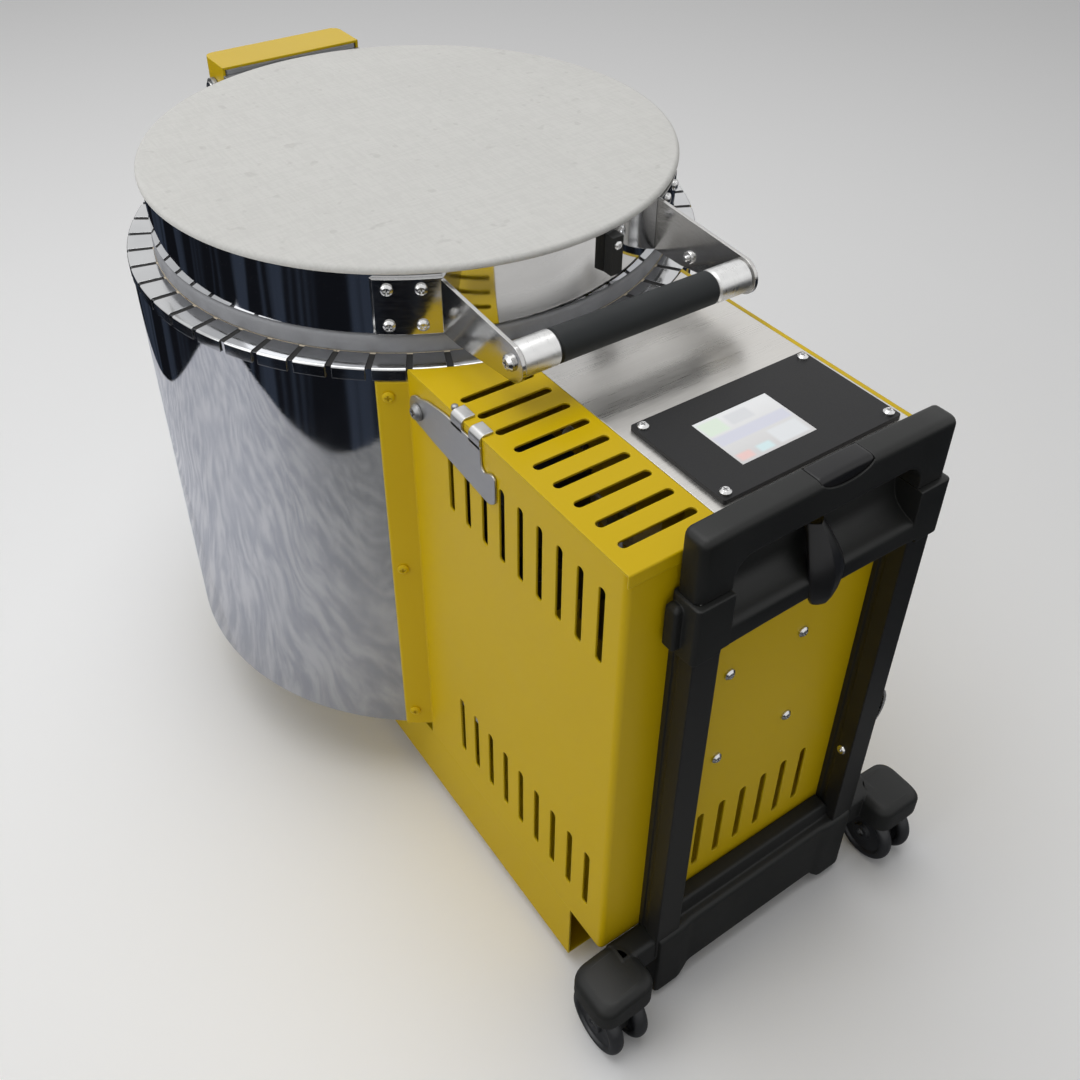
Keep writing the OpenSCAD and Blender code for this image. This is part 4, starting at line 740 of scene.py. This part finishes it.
for side in (-1, 1):
    head = lathe([(0.0, 0.0024), (0.0012, 0.0024), (0.0013, 0.0016), (0.0028, 0.0016), (0.0036, 0.0008),
                  (0.0038, -0.0003), (0.0, -0.0003)],
                 (0, 0, 0), axis="X", steps=32)
    flip = Matrix.Translation(
        (trolley_x + side * (rail_reach - rail_width / 2), rail_mid_y - 0.002, screw_height))
    bmesh.ops.transform(head, matrix=flip @ Matrix.Scale(-side, 4, (1, 0, 0)), verts=head.verts)
    add(rail_screws, head)
piece("rail_screws", rail_screws, "kiln", bright_zinc)

# Moulded black plastic of the trolley: a fine grain, slightly paler along its edges.
# The bracket caps both rails; between them it is scooped out behind the hand bar.
moulded = Finish("moulded_black")
mould_grain = moulded.noise(1100.0, 3.0)
mould_flow = moulded.noise(12.0, 3.0)
mould_scuff = moulded.step(moulded.noise(55.0, 5.0, 0.7), 0.58, 0.74)
mould_colour = moulded.blend(mould_flow, (0.0075, 0.008, 0.0075), (0.013, 0.0135, 0.013))
mould_colour = moulded.blend(mould_scuff * 0.2, mould_colour, (0.028, 0.029, 0.028))
mould_colour = moulded.blend(moulded.edge(0.002) * 0.35, mould_colour, (0.045, 0.046, 0.045))
moulded_black = moulded.surface(
    Base_Color=mould_colour, Roughness=moulded.step(mould_flow, 0.3, 0.7, 0.42, 0.54),
    Normal=moulded.bump(mould_grain, 0.3, 0.0002, moulded.soft_edge(0.001)), Specular_IOR_Level=0.3)
dress(moulded_black, "lid_tab", "cord_gland", "caster_hub_left", "caster_hub_right")
gloss = Finish("smooth_black")
gloss_flow = gloss.noise(20.0, 2.0)
smooth_black = gloss.surface(
    Base_Color=gloss.blend(gloss_flow, (0.008, 0.008, 0.009), (0.013, 0.013, 0.014)),
    Roughness=gloss.step(gloss_flow, 0.3, 0.7, 0.30, 0.40), Normal=gloss.soft_edge(0.001),
    Specular_IOR_Level=0.3)
mm = 0.001


def rounded(corners, radii, steps=5):
    """Rounds each corner of a closed outline of (a, b) points with a small curve."""
    outline = []
    for k, corner in enumerate(corners):
        here = Vector(corner)
        before = Vector(corners[k - 1]) - here
        after = Vector(corners[(k + 1) % len(corners)]) - here
        back = here + before.normalized() * min(radii[k], 0.49 * before.length)
        on = here + after.normalized() * min(radii[k], 0.49 * after.length)
        for step in range(steps + 1):
            t = step / steps
            outline.append(back * (1 - t) ** 2 + here * (2 * t * (1 - t)) + on * t ** 2)
    return outline


def loft(rings):
    """Joins rings of as many points each into one closed solid."""
    body = bmesh.new()
    made = [[body.verts.new(point) for point in ring] for ring in rings]
    for one, other in zip(made, made[1:]):
        for k in range(len(one)):
            body.faces.new((one[k - 1], one[k], other[k], other[k - 1]))
    body.faces.new(made[0])
    body.faces.new(list(reversed(made[-1])))
    bmesh.ops.recalc_face_normals(body, faces=body.faces)
    return body


def rounding(distance, radius):
    """How far a surface draws in at a distance from an end with a round of this radius."""
    depth = max(0.0, radius - distance)
    return radius - math.sqrt(max(0.0, radius * radius - depth * depth))


def cushion_block(low, high, corner, crown, steps=6):
    """Upright block with round vertical corners, and its top edge rounded over."""
    x0, y0, z0, x1, y1, z1 = (*low, *high)
    rings = []
    heights = [z0] + [z1 - crown + crown * math.sin(math.pi / 2 * k / steps) for k in range(steps + 1)]
    for z in heights:
        inset = rounding(z1 - z, crown)
        square = [(x0 + inset, y0 + inset), (x1 - inset, y0 + inset), (x1 - inset, y1 - inset),
                  (x0 + inset, y1 - inset)]
        rings.append([(a, b, z) for a, b in rounded(square, [max(corner - inset * 0.5, 0.0005)] * 4, 7)])
    return loft(rings)


def carved(body, cutter):
    """Cuts one closed mesh out of another."""
    pair = []
    for mesh in (body, cutter):
        data = bpy.data.meshes.new("carving")
        mesh.to_mesh(data)
        mesh.free()
        thing = bpy.data.objects.new("carving", data)
        bpy.context.collection.objects.link(thing)
        pair.append(thing)
    cut = pair[0].modifiers.new("cut", "BOOLEAN")
    cut.operation = "DIFFERENCE"
    cut.solver = "EXACT"
    cut.object = pair[1]
    bpy.context.view_layer.update()
    result = bmesh.new()
    result.from_object(pair[0], bpy.context.evaluated_depsgraph_get())
    for thing in pair:
        data = thing.data
        bpy.data.objects.remove(thing)
        bpy.data.meshes.remove(data)
    return result


bracket_low, bracket_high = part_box("cross_bracket")
bracket_front, bracket_back = bracket_low[1], bracket_high[1]
foot_z, seam_z = bracket_low[2], bracket_high[2]
end_half = rail_reach + rail_width / 2 + 3 * mm
inner_half = rail_reach - 13 * mm
scoop_edge = foot_z + 19 * mm
scoop_back = foot_z + 42 * mm


def bracket_ring(across):
    """Outline of the bracket at a distance from the trolley's middle."""
    away = abs(across)
    inset = rounding(end_half - away, 3 * mm)
    arch = 0.0 if away > inner_half + 6 * mm else 3 * mm + 1.5 * mm * (1 - (away / inner_half) ** 2)
    front, back, low = bracket_front + inset, bracket_back - inset, foot_z + arch
    if away > inner_half:
        top = seam_z - inset * 0.3
        corners = [(front, low + inset * 0.3), (front, top), (front + 7 * mm, top), (front + 13 * mm, top),
                   (back - 2 * mm, top), (back, top), (back, low)]
        radii = [2 * mm, 1.2 * mm, mm, mm, mm, 1.2 * mm, mm]
    else:
        corners = [(front, low), (front, scoop_edge), (front + 9 * mm, scoop_edge + 2.5 * mm),
                   (back - 4.5 * mm, scoop_edge + 9 * mm), (back - 1.8 * mm, scoop_back), (back, scoop_back),
                   (back, low)]
        radii = [2.5 * mm, 4 * mm, 4 * mm, 7 * mm, 0.7 * mm, 0.7 * mm, mm]
    return [(trolley_x + across, a, b) for a, b in rounded(corners, radii)]


half_across = [end_half - d * mm for d in (0, 0.25, 0.8, 1.7, 3)] + [
    inner_half + 6.1 * mm, inner_half + 5.9 * mm, inner_half + 0.05 * mm]
half_across += [inner_half * k / 12 for k in range(12, 0, -1)]
bracket = loft([bracket_ring(a) for a in [-a for a in half_across] + [0.0] + half_across[::-1]])
slide_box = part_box("middle_tubes")
slide_width = slide_box[1][0] - slide_box[0][0] - 2 * rail_reach + 0.6 * mm
bores = bmesh.new()
for side in (-1, 1):
    for width, low, high in (
        (rail_width + 0.1 * mm, foot_z - 0.01, seam_z - 6 * mm),
        (slide_width, seam_z - 7 * mm, seam_z + 0.01)):
        square = [(trolley_x + side * rail_reach + a * width / 2, rail_mid_y + b * width / 2)
                  for a, b in ((-1, -1), (1, -1), (1, 1), (-1, 1))]
        add(bores, loft([[(a, b, z) for a, b in square] for z in (low, high)]))
bracket = carved(bracket, bores)
for side in (-1, 1):
    lug_x = trolley_x + side * (end_half + 1.5 * mm)
    add(bracket,
        cushion_block((lug_x - 4 * mm, bracket_back - 11 * mm, foot_z + 7 * mm),
                      (lug_x + 4 * mm, bracket_back - 1 * mm, foot_z + 38 * mm), 2.5 * mm, 4 * mm))
piece("bracket_moulding", bracket, "kiln", moulded_black, "cross_bracket")

# The lock's dark housing: a leaf-shaped boss with a ridge down its middle, moulded on the bracket.
# It starts under the hand bar and ends round, a little below the bracket.
boss_rings = []
for up, half, ridge, set_back in (
    (-4.6, 2, 1.2, 0), (-3.6, 6, 2.6, 0), (-1, 9.6, 3.8, 0), (4, 12.2, 4.8, 0), (11, 13.6, 5.4, 0),
    (19, 14, 5.8, 0.5), (27, 12.8, 6.2, 3), (35, 10.4, 6.8, 7.5), (43, 8, 6.8, 13), (48, 6.6, 6.2, 17)):
    base = bracket_front + set_back * mm
    boss_rings.append([(trolley_x + a * half * mm, base + b * ridge * mm + c * mm, foot_z + up * mm) for a, b,
                       c in ((-1, 0, 0.6), (-0.95, -0.2, 0), (-0.7, -0.52, 0), (-0.4, -0.78, 0),
                             (-0.12, -0.95, 0), (0, -1.04, 0), (0.12, -0.95, 0), (0.4, -0.78, 0),
                             (0.7, -0.52, 0), (0.95, -0.2, 0), (1, 0, 0.6), (0.9, 0, 3), (0, 0, 3.4),
                             (-0.9, 0, 3))])
piece("lock_boss_moulding", loft(boss_rings), "kiln", smooth_black, "lock_boss")

# The pull handle's head: a hand bar on two legs, its ends and top rounded, its button lying in
# a pocket behind a scooped front edge. Two bright square tubes under it slide in the rails.
head_low, head_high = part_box("grip_head")
head_top = head_high[2]
head_half = (head_high[0] - head_low[0]) / 2
head_front, head_back = head_low[1], rail_mid_y + rail_width / 2 - 1.5 * mm
head_foot = seam_z + 0.4 * mm
bar_under = head_top - 27.5 * mm
corner = 12 * mm


def head_ring(across, under, lower_round):
    """Outline of the head at a distance from its middle."""
    inset = rounding(head_half - abs(across), 5 * mm)
    top = head_top - 1.4 * mm * (across / head_half) ** 2 - inset
    front, back = head_front + inset, head_back - inset * 0.6
    square = [(front, under), (front, top), (back, top), (back, under)]
    return [(trolley_x + across, a, b) for a,
            b in rounded(square, [lower_round, 5.5 * mm, 3 * mm, lower_round * 0.6], 7)]


half_rings = [(head_half - d * mm, head_foot, mm) for d in (0, 0.2, 0.7, 1.5, 2.8, 5)]
half_rings += [(inner_half + 0.4 * mm, head_foot, mm), (inner_half + 0.02 * mm, head_foot + 0.4 * mm, mm)]
for step in range(10):
    bend = math.pi / 2 * step / 9
    half_rings.append((inner_half - corner * (1 - math.cos(bend)),
                       bar_under - corner + corner * math.sin(bend), (1 + 5 * step / 9) * mm))
half_rings += [((inner_half - corner) * k / 8, bar_under, 6 * mm) for k in range(7, 0, -1)]
head = loft([head_ring(-a, b, c) for a, b, c in half_rings] + [head_ring(0, bar_under, 6 * mm)]
            + [head_ring(a, b, c) for a, b, c in half_rings[::-1]])
button_low, button_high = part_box("release_button")
button_x = (button_low[0] + button_high[0]) / 2
button_half = (button_high[0] - button_low[0]) / 2
pocket_gap = 0.4 * mm
front_wall = 1.3 * mm
lip_drop = 8 * mm
pocket = [(button_x + a, b) for a,
          b in ((-button_half - pocket_gap, head_top + 0.01), (-button_half - pocket_gap, head_top - 19 * mm),
                (button_half + pocket_gap, head_top - 19 * mm), (button_half + pocket_gap, head_top + 0.01))]
head = carved(head,
              loft([[(a, y, b) for a, b in pocket] for y in (head_front + front_wall, head_back - 1.2 * mm)]))
window = [(button_x + (button_half + pocket_gap) * math.cos(math.pi * k / 24),
           head_top + 1.0 * mm - (lip_drop + mm) * math.sin(math.pi * k / 24)) for k in range(25)]
window += [(button_x - button_half - pocket_gap, head_top + 0.01),
           (button_x + button_half + pocket_gap, head_top + 0.01)]
head = carved(head,
              loft([[(a, y, b) for a, b in window]
                    for y in (head_front - 0.01, head_front + front_wall + 0.1 * mm)]))
piece("head_moulding", head, "trolley_handle", moulded_black, "grip_head")
inner_width = slide_width - 0.6 * mm - 3 * mm
inner_tubes = bmesh.new()
for side in (-1, 1):
    x0 = trolley_x + side * rail_reach
    add(inner_tubes,
        cushion_block((x0 - inner_width / 2, rail_mid_y - inner_width / 2, head_low[2]),
                      (x0 + inner_width / 2, rail_mid_y + inner_width / 2, head_foot + 2 * mm), 1.5 * mm,
                      0.2 * mm))
piece("inner_tubes", inner_tubes, "trolley_handle", drawn_alloy)
button_rings = []
for k in range(-10, 11):
    x = button_half * math.sin(math.pi / 2 * k / 10)
    inset = rounding(button_half - abs(x), 0.8 * mm)
    top = button_high[2] - 1.5 * mm * (x / button_half) ** 2 * 0.3 - inset
    front, back = head_front + front_wall + 0.25 * mm, head_back - 1.6 * mm
    square = [(front, head_top - 14 * mm), (front, top), (back, top), (back, head_top - 14 * mm)]
    button_rings.append([(button_x + x, a, b) for a,
                         b in rounded(square, [0.5 * mm, 4.5 * mm, 1.5 * mm, 0.5 * mm], 7)])
piece("button_cap", loft(button_rings), "button", smooth_black, "release_button")

# The trolley's foot: a deep moulded crossbar with a rear ledge, its ends a little lower and proud.
# An arm from each end carries a rounded hood over the caster.
bar_low, bar_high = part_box("crossbar")
bar_top = rail_low[2] + 20 * mm
ledge_top = bar_high[2]
bar_half, ledge_half = 94 * mm, rail_reach - rail_width / 2
bar_back = rail_mid_y + rail_width / 2 - 0.3 * mm
bar_face = rail_mid_y - rail_width / 2 - 1 * mm
bar_rings = []
half_bar = [(94, 9, 1.5), (93.8, 8, 1.5), (93, 7, 1.5), (91, 6.4, 1.5), (88, 6, 1.5), (74, 6, 1.5),
            (71, 7, 1.3), (66, 12, 0.4), (63.5, 15.5, 0), (61, 16.8, 0), (56, 17, 0), (30, 17, 0)]
for across, low, proud in half_bar + [(-a, b, c) for a, b, c in half_bar[::-1]]:
    inset = rounding(94 - abs(across), 2.5) * mm
    ledge = ledge_top if abs(across) * mm < ledge_half else bar_top
    front = bar_face - proud * mm + inset
    corners = [(front, low * mm), (front, bar_top), (bar_face + 7.5 * mm, bar_top + 0.2 * mm),
               (bar_face + 9.5 * mm, ledge), (bar_back, ledge), (bar_back, low * mm + 2 * mm)]
    bar_rings.append([(trolley_x + across * mm, a, b) for a,
                      b in rounded(corners, [4 * mm, 5 * mm, 1.5 * mm, 2.5 * mm, mm, 3 * mm])])
crossbar = loft(bar_rings)
housing_x = (bar_high[0] - bar_low[0]) / 2 - 23 * mm
housing_z = 52 * mm
for side in (-1, 1):
    near, far = sorted((trolley_x + side * (bar_half - 3 * mm), trolley_x + side * (housing_x - 8 * mm)))
    add(crossbar,
        cushion_block((near, bar_face + 1.5 * mm, housing_z), (far, bar_back, bar_top), 2 * mm, 4 * mm))
    middle = (trolley_x + side * housing_x, (bar_low[1] + bar_high[1]) / 2)
    hood = cushion_block((middle[0] - 23 * mm, bar_low[1], housing_z),
                         (middle[0] + 23 * mm, bar_high[1], bar_top), 13 * mm, 7 * mm)
    for vert in hood.verts:
        outward = side * (vert.co.x - middle[0]) / (23 * mm)
        if vert.co.z > housing_z + 8 * mm:
            vert.co.z -= 5 * mm * max(0.0, outward + 0.1) ** 1.5
    add(crossbar, hood)
piece("crossbar_moulding", crossbar, "kiln", moulded_black, "crossbar")

# Twin-wheel casters: 50 mm wheels of smooth dark plastic with a rounded tread and a dished face.
tread = Finish("wheel_tread")
tread_scuff = tread.noise(80.0, 4.0)
wheel_black = tread.surface(
    Base_Color=tread.blend(tread_scuff, (0.008, 0.009, 0.011), (0.020, 0.021, 0.024)),
    Roughness=tread.step(tread_scuff, 0.3, 0.7, 0.34, 0.55), Normal=tread.soft_edge(0.0008))
for side in ("left", "right"):
    for letter in ("a", "b"):
        wheel_low, wheel_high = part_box(f"caster_wheel_{side}_{letter}")
        centre = [(a + b) / 2 for a, b in zip(wheel_low, wheel_high)]
        radius, half = (wheel_high[2] - wheel_low[2]) / 2, (wheel_high[0] - wheel_low[0]) / 2
        face = [(3.1, 1.0), (7, 1.0), (7.8, 0.55), (9, 0.5), (17.5, 0.62), (19, 0.95), (20.5, 1.0)]
        face = [(a * mm, b * half) for a, b in face]
        tyre = [(radius - half * 0.8 * (1 - math.sin(t)), half * math.cos(t))
                for t in [math.pi / 2 * k / 8 for k in range(9)]]
        outline = face + tyre + [(a, -b) for a, b in tyre[-2::-1]] + [(a, -b) for a, b in face[::-1]]
        piece(f"wheel_{side}_{letter}_tyre", lathe(outline, centre, axis="X", steps=96),
              f"wheel_{side}_{letter}", wheel_black, f"caster_wheel_{side}_{letter}")

# The side lever: a flat satin steel plate that pivots on the box's left wall, its corners rounded.
# Two short tabs of it bend over the top edge with a small radius. A dark pin stands beside them.
lever_low, lever_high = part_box("prop_lever")
pivot_y, pivot_z = lever_high[1] - 10.5 * mm, lever_low[2] + 19.5 * mm
plate_t = 1.5 * mm
plate_x = lever_low[0]
lever_top = lever_high[2]
head_round = [(11 * math.cos(math.radians(a)), 11 * math.sin(math.radians(a))) for a in range(-80, -281, -20)]
edge_line = [(10, 14.5), (33, 18), (73, 18), (73.4, 4), (77, 1.5), (85, 6), (88.5, 4), (88.5, -14.5),
             (82, -19.4), (60, -17), (20, -13.5)]
edge_round = [6, 4, 1, 2.5, 2.5, 3, 2, 3, 4, 2, 2]
outline = rounded([(a, b) for a, b in head_round + edge_line], [1.5] * len(head_round) + edge_round, 4)
lever = loft([[(plate_x + depth * plate_t, pivot_y - a * mm * (1 - shrink) - 40 * mm * shrink,
                pivot_z + b * mm * (1 - shrink))
               for a, b in outline]
              for depth, shrink in ((0, 0.004), (0.15, 0), (0.85, 0), (1, 0.004))])
middle_x = plate_x + plate_t / 2
bend = 3.5 * mm
path = [(middle_x, pivot_z + 16 * mm, 0.0)]
path += [(middle_x + bend * (1 - math.cos(t)), lever_top - plate_t / 2 - bend + bend * math.sin(t), t)
         for t in [math.pi / 2 * k / 8 for k in range(9)]]
path.append((lever_high[0], lever_top - plate_t / 2, math.pi / 2))
for away in (46.5 * mm, 66.5 * mm):
    rings = []
    for x, z, turned in path:
        off = (-math.cos(turned) * plate_t / 2, math.sin(turned) * plate_t / 2)
        near, far = pivot_y - away + 6 * mm, pivot_y - away - 6 * mm
        rings.append([(x + off[0], near, z + off[1]), (x - off[0], near, z - off[1]),
                      (x - off[0], far, z - off[1]), (x + off[0], far, z + off[1])])
    add(lever, loft(rings))
piece("lever_plate", lever, "lever", satin_steel, "prop_lever")
pin_outline = [(0.0, 0.003), (0.0012, 0.0029), (0.0021, 0.0022), (0.0023, 0.0012), (0.0023, -0.0004),
               (0.0, -0.0004)]
pin_inward, pin_forward = 4.5 * mm, 237.4 * mm
pin_place = (lever_low[0] + pin_inward, drum_y - pin_forward, lever_top - plate_t - 0.3 * mm)
piece("catch_pin", lathe(pin_outline, pin_place, steps=32), "kiln", grey_steel)

# A bolt with its nut on the inner face of the lid handle's right arm.
arm_face = trolley_x + 82.8 * mm
bolt_forward, bolt_z = 206.5 * mm, 454.5 * mm
bolt_outline = [(0.0, 0.0062), (0.0016, 0.0060), (0.0022, 0.0052), (0.0022, 0.0034), (0.0044, 0.0032),
                (0.0047, 0.0026), (0.0047, 0.0006), (0.0060, 0.0004), (0.0062, -0.0002), (0.0, -0.0002)]
bolt = lathe(bolt_outline, (0, 0, 0), axis="X", steps=48)
turned_in = Matrix.Translation((arm_face, drum_y - bolt_forward, bolt_z)) @ Matrix.Scale(-1, 4, (1, 0, 0))
bmesh.ops.transform(bolt, matrix=turned_in, verts=bolt.verts)
piece("arm_bolt", bolt, "lid", bright_zinc)
